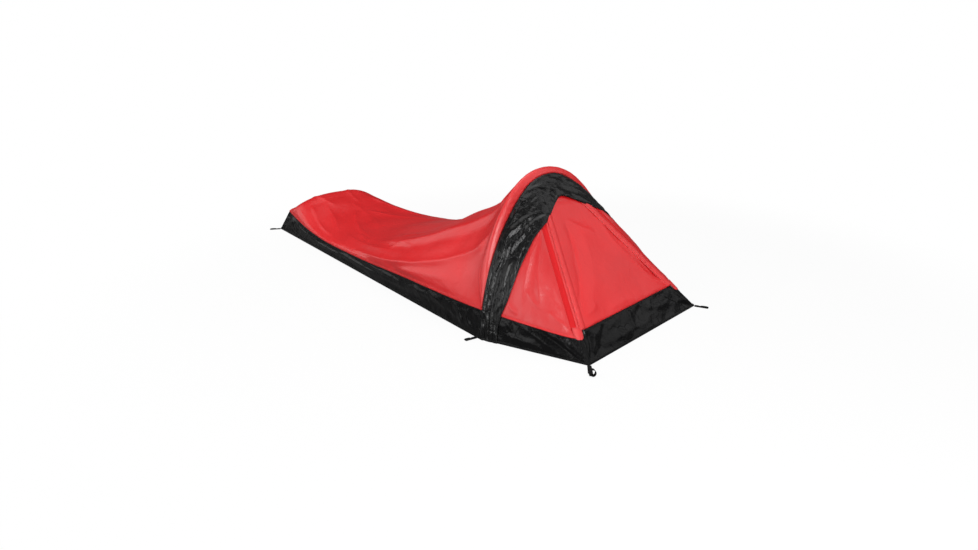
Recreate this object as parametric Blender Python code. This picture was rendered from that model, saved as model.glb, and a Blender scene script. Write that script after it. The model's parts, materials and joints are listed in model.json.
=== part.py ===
"""Hooped bivy shelter: a low red body on a black tub floor, held up at the head by one pole.

Metres, +Z up. X runs from the foot to the head end and Y across, with the right side at -Y.
The origin is on the ground, midway between the two feet of the hoop.
"""
import math

import bmesh
import bpy
import numpy as np
from mathutils import Matrix, Vector

# Floor plan
FOOT_X = -1.80
HEAD_X = 0.43
FOOT_HALF_WIDTH = 0.2775
HOOP_HALF_WIDTH = 0.49
HEAD_HALF_WIDTH = 0.37

# Cloth
CLOTH = 0.0012
GAP = 0.0003
SEAM_TRIM = 0.0009
CORNER_TRIM = 0.0021
HEM_TRIM = 0.0012
SLEEVE_SEAM_TRIM = 0.0030

# Seam arch, along which the body, the sleeve and the storm flap are sewn together
SEAM_HEIGHT = 0.549
SEAM_LEAN = 0.098
SEAM_TOP_RADIUS = 0.274
SEAM_TOP_ANGLE = math.radians(34.6)

# Pole sleeve, sewn along the seam arch and standing proud of it over the pole
SLEEVE_WIDTH = 0.045
SLEEVE_START_HEIGHT = 0.160
SLEEVE_TAPER = (0.10, 0.25)
SLEEVE_CLEARANCE = 0.0018
SLEEVE_LEAST_RISE = 0.0015
SLEEVE_BLEND = 0.004

# Black tub walls: distance along the side from 0 at the foot to 1 at the hoop, with the height there
WALL_TOPS = ((0.0, 0.106), (0.1, 0.085), (0.25, 0.065), (0.45, 0.067), (0.72, 0.095), (1.0, 0.112))
WALL_INSETS = ((0.0, 0.048), (0.15, 0.022), (0.45, 0.016), (0.75, 0.020), (1.0, 0.032))
FOOT_TOP_X = -1.755
FOOT_TOP_RISE = 0.020
END_WALL_HEIGHT = 0.088
SIDE_WALL_RIDGE_HEIGHT = 0.074

# Ridge lines, from the head corners up to the hoop
RIDGE_TOP_HALF_WIDTH = 0.08
GUSSET_TOP = 0.93

# Crest of the body canopy along its middle
CANOPY_CREST = ((-1.755, 0.126), (-1.69, 0.180), (-1.60, 0.161), (-1.48, 0.117), (-1.32, 0.090),
                (-1.10, 0.106), (-0.85, 0.162), (-0.62, 0.228), (-0.44, 0.318), (-0.29, 0.392),
                (-0.20, 0.462), (-0.143, 0.549))
CANOPY_ROWS = 24
CANOPY_COLUMNS = 24
HOOP_FORM_START = -0.80
FOOT_ROUNDNESS = 2.3
WAIST_ROUNDNESS = 2.1

# Main folds of the canopy: from (length, side) to (length, side), bow, height and half width
CANOPY_FOLDS = (
    ((0.97, -0.62), (0.66, -0.92), 0.05, 0.007, 0.055),
    ((0.95, -0.35), (0.52, -0.70), 0.07, 0.008, 0.070),
    ((0.90, -0.12), (0.40, -0.42), 0.06, 0.006, 0.080),
    ((0.97, 0.62), (0.66, 0.92), 0.05, 0.007, 0.055),
    ((0.95, 0.35), (0.52, 0.70), 0.07, 0.008, 0.070),
    ((0.22, -0.20), (0.10, -0.80), 0.05, 0.007, 0.045),
    ((0.20, 0.25), (0.09, 0.80), 0.05, 0.006, 0.045),
    ((0.32, -0.45), (0.20, -0.90), 0.03, 0.005, 0.040),
)

# Storm flap over the front of the hoop: its width from 0 at the ground to 1 at the top of the hoop
FLAP_WIDTHS = ((0.0, 0.078), (0.08, 0.078), (0.168, 0.092), (0.268, 0.115), (0.395, 0.136),
               (0.524, 0.155), (0.645, 0.173), (0.78, 0.184), (0.86, 0.177), (0.91, 0.158),
               (0.955, 0.130), (1.0, 0.113))
FLAP_LIFT = 0.0032
FLAP_START = 0.003
FLAP_FAN_HALF_WIDTH = 0.20
FLAP_COLUMNS = 44
FLAP_ROWS = 6

# Hoop pole
POLE_RADIUS = 0.00425
POLE_BORE = 0.00355
FERRULE_RADIUS = 0.00305
FERRULE_BORE = 0.0023
SHOCK_CORD_RADIUS = 0.00125
FERRULE_LENGTH = 0.080
POLE_SECTIONS = 4
POLE_SECTION_GAP = 0.0008
POLE_FOOT_HALF_WIDTH = 0.452
POLE_AXIS_HEIGHT = 0.0092
POLE_BEHIND_SEAM = 0.018
POLE_TOP = 0.5645
POLE_TOP_RADIUS = 0.335
POLE_TOP_ANGLE = math.radians(41.0)
TIP_BALL_RADIUS = 0.0052
TIP_COLLAR_LENGTH = 0.0095
TIP_SHANK_LENGTH = 0.022
TIP_SHANK_CHAMFER = 0.0009
POCKET_WIDTH = 0.020
POCKET_HEIGHT = 0.024
POCKET_HALF_GAP = 0.0068
POCKET_CORNER = 0.003

# Door zips, set in from the ridges and running up under the flap
DOOR_MOUTH = 0.118
ZIP_INSET = 0.021
ZIP_START = 0.004
ZIP_SHORT = 0.012
COIL_SLOT = 0.0014
COIL_WIDTH = 0.0026
COIL_HALF_HEIGHT = 0.0009
ZIP_TAPE_GAP = 0.0003
SLIDER_HALF_WIDTH = 0.0045
SLIDER_PLATE = 0.0010
SLIDER_CHANNEL = 0.00115
SLIDER_LIP = 0.00085
SLIDER_LIP_WIDTH = 0.0008
SLIDER_STATIONS = ((0.0, 0.93), (0.0012, 0.99), (0.00575, 1.0), (0.0095, 1.12), (0.0115, 1.04))
DOOR_NOTCH = 0.0065
DOOR_NOTCH_LENGTH = 0.016
DOOR_TUCK = 0.030
DOOR_CHAMFER = 0.012

# Zip pulls
BAIL_HEIGHT = 0.0034
BAIL_WIDTH = 0.0022
BAIL_THICK = 0.0008
BAIL_START = 0.0016
BAIL_END = 0.0087
PULL_AXIS_ALONG = 0.0044
PULL_AXIS_RISE = 0.0013
PULL_ROD = 0.0008
PULL_SIDE_GAP = 0.0005
PULL_WINDOW = 0.0062
PULL_LENGTH = 0.026
PULL_WIDTH = 0.0056
PULL_THICK = 0.0011

# Rounded red tongues sewn over the foot of each ridge
TONGUE_DROP = 0.030
TONGUE_UP = 0.018
TONGUE_HALF_WIDTH = 0.0145
TONGUE_LIFT = 0.0016
TONGUE_TIP = 0.35

# Peg loops: webbing, and where each is sewn, which way it points and how long it is
WEBBING_WIDTH = 0.015
WEBBING_THICK = 0.0011
LOOP_LIFT = 0.0003
LOOP_STAND_OFF = 0.0016
LOOP_PIVOT_HEIGHT = 0.0036
LOOP_EYE_HEIGHT = 0.013
LOOP_TAIL = 0.016
LOOP_UPPER = ((0.18, 0.28), (0.36, 0.72), (0.52, 0.95), (0.66, 1.0), (0.80, 0.93), (0.92, 0.72),
              (0.99, 0.42))
LOOP_LOWER = ((0.985, 0.18), (0.93, 0.04), (0.82, 0.0), (0.40, 0.0))
PEG_LOOPS = {
    "peg_loop_foot_right": ((FOOT_X, -FOOT_HALF_WIDTH), -125.0, 0.058),
    "peg_loop_foot_left": ((FOOT_X, FOOT_HALF_WIDTH), 125.0, 0.058),
    "peg_loop_hoop_right": ((-0.020, -HOOP_HALF_WIDTH + 0.0024), -105.0, 0.050),
    "peg_loop_hoop_left": ((-0.020, HOOP_HALF_WIDTH - 0.0024), 105.0, 0.050),
    "peg_loop_head_right": ((HEAD_X, -HEAD_HALF_WIDTH), -48.0, 0.092),
    "peg_loop_head_left": ((HEAD_X, HEAD_HALF_WIDTH), 20.0, 0.058),
}

# Colours, as linear red, green and blue
RED = (0.78, 0.020, 0.022)
BLACK = (0.012, 0.012, 0.013)
GREY = (0.30, 0.31, 0.32)
BRIGHT = (0.70, 0.70, 0.72)


def clear_scene():
    """Remove whatever the scene holds."""
    for thing in list(bpy.data.objects):
        bpy.data.objects.remove(thing, do_unlink=True)


def finish(colour, roughness, metallic=0.0):
    """Return a function that makes one part's own material of this finish."""
    def make(name):
        material = bpy.data.materials.new(name)
        material.use_nodes = True
        shader = material.node_tree.nodes["Principled BSDF"]
        shader.inputs["Base Color"].default_value = (*colour, 1.0)
        shader.inputs["Roughness"].default_value = roughness
        shader.inputs["Metallic"].default_value = metallic
        return material
    return make


RED_CLOTH = finish(RED, 0.55)
BLACK_CLOTH = finish(BLACK, 0.35)
WEBBING = finish(BLACK, 0.75)
ALUMINIUM = finish(GREY, 0.35, 1.0)
STEEL = finish(BRIGHT, 0.28, 1.0)
PLASTIC = finish(BLACK, 0.45)
ELASTIC = finish(GREY, 0.85)


def add_object(name, data, make_material):
    """Link an object of this data and give it a material of its own."""
    thing = bpy.data.objects.new(name, data)
    bpy.context.collection.objects.link(thing)
    data.materials.append(make_material(name))
    return thing


def mesh_object(name, bm, make_material, smooth_angle=35.0):
    """Turn a bmesh into a shaded object."""
    bmesh.ops.recalc_face_normals(bm, faces=bm.faces)
    mesh = bpy.data.meshes.new(name)
    bm.to_mesh(mesh)
    bm.free()
    thing = add_object(name, mesh, make_material)
    mesh.shade_smooth()
    mesh.set_sharp_from_angle(angle=math.radians(smooth_angle))
    return thing


def place_empty(name, location):
    """Put an empty on a joint's axis for its pieces to hang from."""
    empty = bpy.data.objects.new(name, None)
    empty.location = location
    empty.empty_display_size = 0.02
    bpy.context.collection.objects.link(empty)
    return empty


def hang_on(empty, things):
    """Parent pieces to an empty and leave them where they are."""
    bpy.context.view_layer.update()
    for thing in things:
        thing.parent = empty
        thing.matrix_parent_inverse = empty.matrix_world.inverted()


def smooth_step(value, start, end):
    """Rise smoothly from 0 at start to 1 at end."""
    t = np.clip((value - start) / (end - start), 0.0, 1.0)
    return t * t * (3.0 - 2.0 * t)


def smooth_curve(points, at):
    """Read a smooth curve through (x, value) points, with slopes taken from the neighbours."""
    xs, values = np.array(points, dtype=float).T
    slopes = np.gradient(values, xs)
    at = np.clip(np.asarray(at, dtype=float), xs[0], xs[-1])
    index = np.clip(np.searchsorted(xs, at, side="right") - 1, 0, len(xs) - 2)
    step = xs[index + 1] - xs[index]
    t = (at - xs[index]) / step
    rise = (1 + 2 * t) * (1 - t) ** 2 * values[index] + t * t * (3 - 2 * t) * values[index + 1]
    lean = t * (1 - t) ** 2 * slopes[index] - t * t * (1 - t) * slopes[index + 1]
    return rise + lean * step


class Arch:
    """A hoop in its own plane: one arc over the top, and a flatter arc down each leg."""

    def __init__(self, half_width, height, top_radius, top_angle):
        self.half_width = half_width
        self.height = height
        self.top_radius = top_radius
        self.knee_y = top_radius * math.sin(top_angle)
        self.knee_z = height - top_radius + top_radius * math.cos(top_angle)
        chord_y = half_width - self.knee_y
        chord_z = -self.knee_z
        turn = -math.atan2(chord_z, chord_y) - top_angle
        self.leg_radius = math.hypot(chord_y, chord_z) / (2.0 * math.sin(turn))
        self.leg_y = self.knee_y - self.leg_radius * math.sin(top_angle)
        self.leg_z = self.knee_z - self.leg_radius * math.cos(top_angle)

    def half_width_at(self, z):
        """Return how far out the hoop stands at a height."""
        z = np.asarray(z, dtype=float)
        top = self.top_radius ** 2 - (z - self.height + self.top_radius) ** 2
        leg = self.leg_radius ** 2 - (z - self.leg_z) ** 2
        top_y = np.sqrt(np.maximum(top, 0.0))
        leg_y = self.leg_y + np.sqrt(np.maximum(leg, 0.0))
        return np.where(z > self.knee_z, top_y, leg_y)

    def points(self, count, lowest=0.0):
        """Return evenly spaced (y, z) from the right leg over the top to the left leg."""
        fine = np.concatenate([np.linspace(lowest, self.knee_z, 200),
                               self.knee_z + (self.height - self.knee_z)
                               * np.sin(np.linspace(0.0, math.pi / 2, 200))[1:]])
        half = np.stack([-self.half_width_at(fine), fine], axis=1)
        half[-1, 0] = 0.0
        whole = np.concatenate([half, (half * (-1.0, 1.0))[::-1][1:]])
        run = np.concatenate([[0.0], np.cumsum(np.linalg.norm(np.diff(whole, axis=0), axis=1))])
        at = np.linspace(0.0, run[-1], count)
        return np.stack([np.interp(at, run, whole[:, 0]), np.interp(at, run, whole[:, 1])], axis=1)


SEAM = Arch(HOOP_HALF_WIDTH, SEAM_HEIGHT, SEAM_TOP_RADIUS, SEAM_TOP_ANGLE)
POLE = Arch(POLE_FOOT_HALF_WIDTH, POLE_TOP - POLE_AXIS_HEIGHT, POLE_TOP_RADIUS, POLE_TOP_ANGLE)

POLE_X = -POLE_BEHIND_SEAM - SEAM_LEAN * POLE_AXIS_HEIGHT / SEAM_HEIGHT
RIDGE_TOP_Z = SEAM_HEIGHT - SEAM_TOP_RADIUS + math.sqrt(SEAM_TOP_RADIUS ** 2 - RIDGE_TOP_HALF_WIDTH ** 2)


def seam_x(z):
    """Return where the seam arch stands at a height, leaning back to the foot."""
    return -SEAM_LEAN * np.asarray(z, dtype=float) / SEAM_HEIGHT


def sleeve_width(z):
    """Return how wide the pole sleeve is at a height, from nothing at the tub wall."""
    return SLEEVE_WIDTH * smooth_step(z, *SLEEVE_TAPER)


def floor_half_width(x):
    """Return half the floor's width at a distance along it."""
    return np.interp(x, (FOOT_X, 0.0, HEAD_X), (FOOT_HALF_WIDTH, HOOP_HALF_WIDTH, HEAD_HALF_WIDTH))


def head_corner(side):
    """Return the ground corner at the head end."""
    return np.array([HEAD_X, side * HEAD_HALF_WIDTH, 0.0])


def ridge_top(side):
    """Return the point where a ridge line meets the hoop."""
    return np.array([seam_x(RIDGE_TOP_Z), side * RIDGE_TOP_HALF_WIDTH, RIDGE_TOP_Z])


FRONT_UP = np.array([seam_x(RIDGE_TOP_Z) - HEAD_X, 0.0, RIDGE_TOP_Z])
FRONT_UP = FRONT_UP / np.linalg.norm(FRONT_UP)
FRONT_OUT = np.array([FRONT_UP[2], 0.0, -FRONT_UP[0]])


def front_point(up, y, out=0.0):
    """Return a point of the sloping head end, measured up its slope from the ground."""
    return np.array([HEAD_X, y, 0.0]) + FRONT_UP * up + FRONT_OUT * out


def up_slope(z):
    """Return how far up the sloping head end a height lies."""
    return z / FRONT_UP[2]


def ridge_y(up):
    """Return how far out a ridge stands at a place up the slope."""
    whole = up_slope(RIDGE_TOP_Z)
    return HEAD_HALF_WIDTH + (RIDGE_TOP_HALF_WIDTH - HEAD_HALF_WIDTH) * up / whole


def wall_top(along, side):
    """Return the top edge of a body wall, from the foot at 0 to the hoop at 1."""
    z = smooth_curve(WALL_TOPS, along)
    inset = smooth_curve(WALL_INSETS, along)
    x = FOOT_TOP_X + (seam_x(WALL_TOPS[-1][1]) - FOOT_TOP_X) * along
    half = floor_half_width(x) - inset
    hoop_half = SEAM.half_width_at(z)
    near_hoop = along ** 6
    return np.stack([x, side * ((1 - near_hoop) * half + near_hoop * hoop_half), z], axis=-1)


def front_side_point(z, along, side):
    """Return a point of the cone between a hoop leg and the head corner, level at height z."""
    scale = np.asarray(1.0 - along * (1.0 - z / RIDGE_TOP_Z))
    height = np.minimum(z / np.maximum(scale, 1e-6), RIDGE_TOP_Z)
    leg = np.stack([seam_x(height), side * SEAM.half_width_at(height), height], axis=-1)
    return head_corner(side) + scale[..., None] * (leg - head_corner(side))


def trim_edges(grid, first_row=0.0, last_row=0.0, first_column=0.0, last_column=0.0):
    """Pull the edges of a grid of points in along the surface, to leave room at its seams."""
    grid = grid.copy()
    for axis, index, inner, amount in ((0, 0, 1, first_row), (0, -1, -2, last_row),
                                       (1, 0, 1, first_column), (1, -1, -2, last_column)):
        edge = grid[index] if axis == 0 else grid[:, index]
        inside = grid[inner] if axis == 0 else grid[:, inner]
        step = inside - edge
        edge += step * (amount / np.linalg.norm(step, axis=-1, keepdims=True))
    return grid


def grid_normals(grid):
    """Return the unit normals of a grid of points."""
    across = np.gradient(grid, axis=1)
    down = np.gradient(grid, axis=0)
    normals = np.cross(down, across)
    return normals / np.linalg.norm(normals, axis=-1, keepdims=True)


def cloth_panel(name, grid, outward, make_material, thickness=CLOTH):
    """Make a sewn panel from a grid of points on its outer face, with its thickness inside."""
    normals = grid_normals(grid)
    if np.mean(normals @ np.asarray(outward, dtype=float)) < 0.0:
        grid = grid[:, ::-1]
    bm = bmesh.new()
    rows, columns = grid.shape[:2]
    verts = [[bm.verts.new(grid[i, j]) for j in range(columns)] for i in range(rows)]
    for i in range(rows - 1):
        for j in range(columns - 1):
            bm.faces.new((verts[i][j], verts[i + 1][j], verts[i + 1][j + 1], verts[i][j + 1]))
    mesh = bpy.data.meshes.new(name)
    bm.to_mesh(mesh)
    bm.free()
    panel = add_object(name, mesh, make_material)
    mesh.shade_smooth()
    solidify = panel.modifiers.new("Thickness", "SOLIDIFY")
    solidify.thickness = thickness
    solidify.offset = -1.0
    solidify.use_rim = True
    return panel


def flat_plate(name, outline, make_material, thickness=CLOTH, direction=(0.0, 0.0, 1.0)):
    """Extrude a flat outline through its thickness."""
    bm = bmesh.new()
    face = bm.faces.new([bm.verts.new(point) for point in outline])
    extruded = bmesh.ops.extrude_face_region(bm, geom=[face])
    moved = [item for item in extruded["geom"] if isinstance(item, bmesh.types.BMVert)]
    bmesh.ops.translate(bm, verts=moved, vec=Vector(direction) * thickness)
    return mesh_object(name, bm, make_material)


def floor_panel():
    """Make the ground sheet inside the tub walls."""
    edge = 2 * CLOTH
    right = [(FOOT_X + edge, -FOOT_HALF_WIDTH + edge), (0.0, -HOOP_HALF_WIDTH + edge),
             (HEAD_X - edge * 2, -HEAD_HALF_WIDTH + edge)]
    outline = [(x, y, 0.0) for x, y in right] + [(x, -y, 0.0) for x, y in reversed(right)]
    return flat_plate("floor_panel", outline, BLACK_CLOTH)


def body_wall(side, name):
    """Make one long wall of the tub, from the foot corner to the hoop seam."""
    along = np.linspace(0.0, 1.0, 15)
    level = np.linspace(0.0, 1.0, 4)
    top = wall_top(along, side)
    bottom_x = FOOT_X * (1.0 - along)
    bottom = np.stack([bottom_x, side * floor_half_width(bottom_x), np.zeros_like(along)], axis=-1)
    grid = bottom[None] + (top - bottom)[None] * level[:, None, None]
    belly = SEAM.half_width_at(grid[:, -1, 2]) - np.abs(grid[:, -1, 1])
    grid[..., 1] += side * belly[:, None] * along[None] ** 6
    grid = trim_edges(grid, first_row=HEM_TRIM, last_row=SEAM_TRIM,
                      first_column=CORNER_TRIM, last_column=SEAM_TRIM)
    return cloth_panel(name, grid, (0.0, side, 0.0), BLACK_CLOTH)


def foot_wall():
    """Make the end wall at the foot."""
    side = np.linspace(-1.0, 1.0, 9)
    level = np.linspace(0.0, 1.0, 4)
    corner = wall_top(np.array([0.0]), 1.0)[0]
    bottom = np.stack([np.full(9, FOOT_X), side * FOOT_HALF_WIDTH, np.zeros(9)], axis=-1)
    rise = FOOT_TOP_RISE * np.abs(np.cos(side * math.pi / 2)) ** (2.0 / FOOT_ROUNDNESS)
    top = np.stack([np.full(9, corner[0]), side * corner[1], corner[2] + rise], axis=-1)
    grid = bottom[None] + (top - bottom)[None] * level[:, None, None]
    grid = trim_edges(grid, first_row=HEM_TRIM, last_row=SEAM_TRIM,
                      first_column=SEAM_TRIM, last_column=SEAM_TRIM)
    return cloth_panel("foot_wall", grid, (-1.0, 0.0, 0.0), BLACK_CLOTH)


def side_wall_height(along):
    """Return the top of the tub wall beside the head, from the hoop at 0 to the ridge at 1."""
    return WALL_TOPS[-1][1] + (SIDE_WALL_RIDGE_HEIGHT - WALL_TOPS[-1][1]) * along


def head_side_wall(side, name):
    """Make the short wall of the tub between the hoop and the head corner."""
    level, along = np.meshgrid(np.linspace(0.0, 1.0, 4), np.linspace(0.0, 1.0, 9), indexing="ij")
    grid = front_side_point(level * side_wall_height(along), along, side)
    grid = trim_edges(grid, first_row=HEM_TRIM, last_row=SEAM_TRIM,
                      first_column=SEAM_TRIM, last_column=CORNER_TRIM)
    return cloth_panel(name, grid, (0.0, side, 0.0), BLACK_CLOTH)


def head_gusset(side, name):
    """Make the red triangle between the hoop leg, the side wall and the ridge."""
    level, along = np.meshgrid(np.linspace(0.0, GUSSET_TOP, 11), np.linspace(0.0, 1.0, 8), indexing="ij")
    base = side_wall_height(along)
    grid = front_side_point(base + level * (RIDGE_TOP_Z - base), along, side)
    grid = trim_edges(grid, first_column=SEAM_TRIM, last_column=SEAM_TRIM, first_row=SEAM_TRIM)
    return cloth_panel(name, grid, (0.0, side, 0.0), RED_CLOTH)


def head_end_wall():
    """Make the sloping end wall at the head, below the door."""
    side = np.linspace(-1.0, 1.0, 7)[None, :]
    up = np.linspace(0.0, up_slope(END_WALL_HEIGHT), 3)[:, None]
    y = side * ridge_y(up)
    grid = np.array([HEAD_X, 0.0, 0.0]) + up[..., None] * FRONT_UP + y[..., None] * (0.0, 1.0, 0.0)
    grid = trim_edges(grid, first_row=HEM_TRIM, last_row=GAP,
                      first_column=SEAM_TRIM, last_column=SEAM_TRIM)
    return cloth_panel("head_end_wall", grid, FRONT_OUT, BLACK_CLOTH)


def canopy_surface(along, side):
    """Return the outer face of the body canopy: along from the foot, side from -1 to 1."""
    hoop = SEAM.points(401, WALL_TOPS[-1][1])
    at = (side + 1.0) * 200.0
    hoop_y = np.interp(at, np.arange(401), hoop[:, 0])
    hoop_z = np.interp(at, np.arange(401), hoop[:, 1])
    hoop_x = seam_x(hoop_z) - sleeve_width(hoop_z)
    edge = wall_top(along, 1.0)
    x = FOOT_TOP_X + (hoop_x - FOOT_TOP_X) * along
    middle_x = FOOT_TOP_X + (CANOPY_CREST[-1][0] - FOOT_TOP_X) * along
    crest = smooth_curve(CANOPY_CREST, middle_x)
    to_hoop = smooth_step(middle_x, HOOP_FORM_START, CANOPY_CREST[-1][0])
    power = FOOT_ROUNDNESS + (WAIST_ROUNDNESS - FOOT_ROUNDNESS) * smooth_step(middle_x, -1.5, -0.9)
    turn = np.abs(side) * math.pi / 2
    low_y = np.sign(side) * np.abs(np.sin(turn)) ** (2.0 / power)
    low_z = np.abs(np.cos(turn)) ** (2.0 / power)
    high_y = hoop_y / SEAM.half_width_at(WALL_TOPS[-1][1])
    high_z = (hoop_z - WALL_TOPS[-1][1]) / (SEAM_HEIGHT - WALL_TOPS[-1][1])
    form_y = low_y + (high_y - low_y) * to_hoop
    form_z = low_z + (high_z - low_z) * to_hoop
    return np.stack([x, form_y * edge[..., 1], edge[..., 2] + (crest - edge[..., 2]) * form_z], axis=-1)


def fold_height(along, side):
    """Return how far the canopy's main folds lift it at each place."""
    length = -FOOT_TOP_X
    half_girth = 0.45
    lift = np.zeros_like(along)
    for start, end, bow, height, half_width in CANOPY_FOLDS:
        start = np.array([start[0] * length, start[1] * half_girth])
        end = np.array([end[0] * length, end[1] * half_girth])
        run = end - start
        reach = np.linalg.norm(run)
        unit = run / reach
        dx = along * length - start[0]
        dy = side * half_girth - start[1]
        t = (dx * unit[0] + dy * unit[1]) / reach
        off = -dx * unit[1] + dy * unit[0] + bow * 4.0 * t * (1.0 - t)
        fade = smooth_step(t, -0.05, 0.25) * (1.0 - smooth_step(t, 0.7, 1.05))
        lift += height * fade * np.exp(-(off / half_width) ** 2)
    return lift


def body_canopy():
    """Make the red upper body, from the foot wall to the back of the pole sleeve."""
    spread = np.linspace(0.0, 1.0, CANOPY_ROWS + 1)
    along = (spread - 0.045 * np.sin(2.0 * math.pi * spread))[:, None]
    side = np.linspace(-1.0, 1.0, CANOPY_COLUMNS + 1)[None, :]
    along, side = np.broadcast_arrays(along, side)
    grid = canopy_surface(along, side)
    edge_fade = smooth_step(1.0 - np.abs(side), 0.0, 0.15) * smooth_step(along, 0.0, 0.06)
    edge_fade = edge_fade * (1.0 - smooth_step(along, 0.94, 1.0))
    normals = grid_normals(grid)
    normals = normals * np.sign(normals[..., 2:])
    grid = grid + normals * (fold_height(along, side) * edge_fade)[..., None]
    grid = trim_edges(grid, first_row=SEAM_TRIM, last_row=SLEEVE_SEAM_TRIM,
                      first_column=SEAM_TRIM, last_column=SEAM_TRIM)
    return cloth_panel("body_canopy", grid, (0.0, 0.0, 1.0), RED_CLOTH)


def hoop_sleeve():
    """Make the red sleeve that the pole runs through, bulging over it from seam to seam."""
    count = 37
    front = SEAM.points(count, SLEEVE_START_HEIGHT)
    front_edge = np.stack([seam_x(front[:, 1]), front[:, 0], front[:, 1]], axis=-1)
    width = sleeve_width(front[:, 1])
    rear_edge = front_edge.copy()
    rear_edge[:, 0] -= width
    pole = POLE.points(count, SLEEVE_START_HEIGHT - POLE_AXIS_HEIGHT)
    way = np.gradient(pole, axis=0)
    way = way / np.linalg.norm(way, axis=1, keepdims=True)
    outside = np.stack([-way[:, 1], way[:, 0]], axis=1)
    over = pole + outside * (POLE_RADIUS + CLOTH + SLEEVE_CLEARANCE)
    over[:, 1] += POLE_AXIS_HEIGHT
    seam_level = np.sum((front - over) * outside, axis=1)
    short = seam_level + SLEEVE_LEAST_RISE
    lift = (short + np.sqrt(short ** 2 + SLEEVE_BLEND ** 2)) / 2
    over = over + outside * lift[:, None]
    middle_x = (front_edge[:, 0] + rear_edge[:, 0]) / 2
    crest = np.stack([middle_x, over[:, 0], over[:, 1]], axis=-1)
    pull = 2.0 * crest - (front_edge + rear_edge) / 2
    across = np.linspace(0.0, 1.0, 7)[:, None, None]
    grid = (1 - across) ** 2 * rear_edge + 2 * across * (1 - across) * pull + across ** 2 * front_edge
    grid = trim_edges(grid, first_row=SEAM_TRIM, last_row=SEAM_TRIM)
    return cloth_panel("hoop_sleeve", grid, (0.0, 0.0, 1.0), RED_CLOTH)


def head_surface_x(y, z):
    """Return how far forward the cloth of the head end stands at a place across and up."""
    side = -1.0 if y < 0.0 else 1.0
    z = min(max(z, 0.0), RIDGE_TOP_Z * 0.999)
    if abs(y) <= ridge_y(up_slope(z)):
        return HEAD_X + FRONT_UP[0] * up_slope(z)
    along = np.linspace(0.0, 1.0, 60)
    row = front_side_point(np.full(60, z), along, side)
    return float(np.interp(-abs(y), -np.abs(row[:, 1]), row[:, 0]))


def storm_flap():
    """Make the black flap that covers the front of the hoop from the ground over to the ground."""
    arch = SEAM.points(FLAP_COLUMNS + 1)
    seam = np.stack([seam_x(arch[:, 1]), arch[:, 0], arch[:, 1]], axis=-1)
    spread = np.clip(arch[:, 0] / FLAP_FAN_HALF_WIDTH, -1.0, 1.0)
    spread = 0.5 * spread * (3.0 - spread ** 2)
    target = np.stack([np.full_like(spread, HEAD_X), spread * HEAD_HALF_WIDTH,
                       np.zeros_like(spread)], axis=-1)
    way = target - seam
    way = way / np.linalg.norm(way, axis=-1, keepdims=True)
    width = smooth_curve(FLAP_WIDTHS, 1.0 - np.abs(np.linspace(-1.0, 1.0, FLAP_COLUMNS + 1)))
    across = np.linspace(0.0, 1.0, FLAP_ROWS + 1)[:, None, None]
    grid = seam[None] + way[None] * (FLAP_START + (width[None, :, None] - FLAP_START) * across)
    for place in grid.reshape(-1, 3):
        place[0] = max(place[0], head_surface_x(place[1], place[2]))
    normals = grid_normals(grid)
    forward = normals[..., 0] + normals[..., 2] + np.sign(grid[..., 1]) * normals[..., 1]
    grid = grid + normals * np.sign(forward)[..., None] * (FLAP_LIFT + CLOTH)
    grid[..., 2] = np.maximum(grid[..., 2], HEM_TRIM)
    return cloth_panel("storm_flap", grid, (1.0, 0.0, 0.7), BLACK_CLOTH)


ZIP_BOTTOM = up_slope(END_WALL_HEIGHT) + ZIP_START
ZIP_TOP = up_slope(RIDGE_TOP_Z) - DOOR_MOUTH - ZIP_SHORT


def zip_line_y(up):
    """Return how far out the middle of a zip lies at a place up the slope."""
    return ridge_y(up) - ZIP_INSET


ZIP_WAY = front_point(ZIP_TOP, zip_line_y(ZIP_TOP)) - front_point(ZIP_BOTTOM, zip_line_y(ZIP_BOTTOM))
ZIP_LENGTH = float(np.linalg.norm(ZIP_WAY))
ZIP_LEAN = math.atan2(-ZIP_WAY[1], float(np.dot(ZIP_WAY, FRONT_UP)))


def zip_frame(side, up):
    """Return the matrix of a zip: X up along it, Y out to the ridge and Z off the cloth."""
    way = ZIP_WAY * (1.0, side, 1.0)
    x_axis = Vector(way / np.linalg.norm(way))
    z_axis = Vector(FRONT_OUT)
    y_axis = z_axis.cross(x_axis) * side
    frame = Matrix.Identity(4)
    frame.col[0][:3] = x_axis
    frame.col[1][:3] = y_axis
    frame.col[2][:3] = z_axis
    frame.col[3][:3] = Vector(front_point(up, side * zip_line_y(up), -CLOTH / 2))
    return frame


def bar(bm, frame, length, near, far, low, high):
    """Add a straight bar in a frame, from near to far across it and low to high off it."""
    corners = [(near, low), (far, low), (far, high), (near, high)]
    face = bm.faces.new([bm.verts.new(frame @ Vector((0.0, y, z))) for y, z in corners])
    extruded = bmesh.ops.extrude_face_region(bm, geom=[face])
    moved = [item for item in extruded["geom"] if isinstance(item, bmesh.types.BMVert)]
    step = (frame.to_3x3() @ Vector((length, 0.0, 0.0)))
    bmesh.ops.translate(bm, verts=moved, vec=step)


def zip_coil(name, side, outer, start):
    """Make one coil of a door zip, the outer one on the body or the inner one on the door."""
    bm = bmesh.new()
    near = COIL_SLOT / 2
    far = near + COIL_WIDTH
    sign = 1.0 if outer else -1.0
    up = ZIP_BOTTOM + start * math.cos(ZIP_LEAN)
    bar(bm, zip_frame(side, up), ZIP_LENGTH - start, sign * near, sign * far,
        -COIL_HALF_HEIGHT, COIL_HALF_HEIGHT)
    return mesh_object(name, bm, PLASTIC)


COIL_EDGE = (COIL_SLOT / 2 + COIL_WIDTH + ZIP_TAPE_GAP) / math.cos(ZIP_LEAN)


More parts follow.
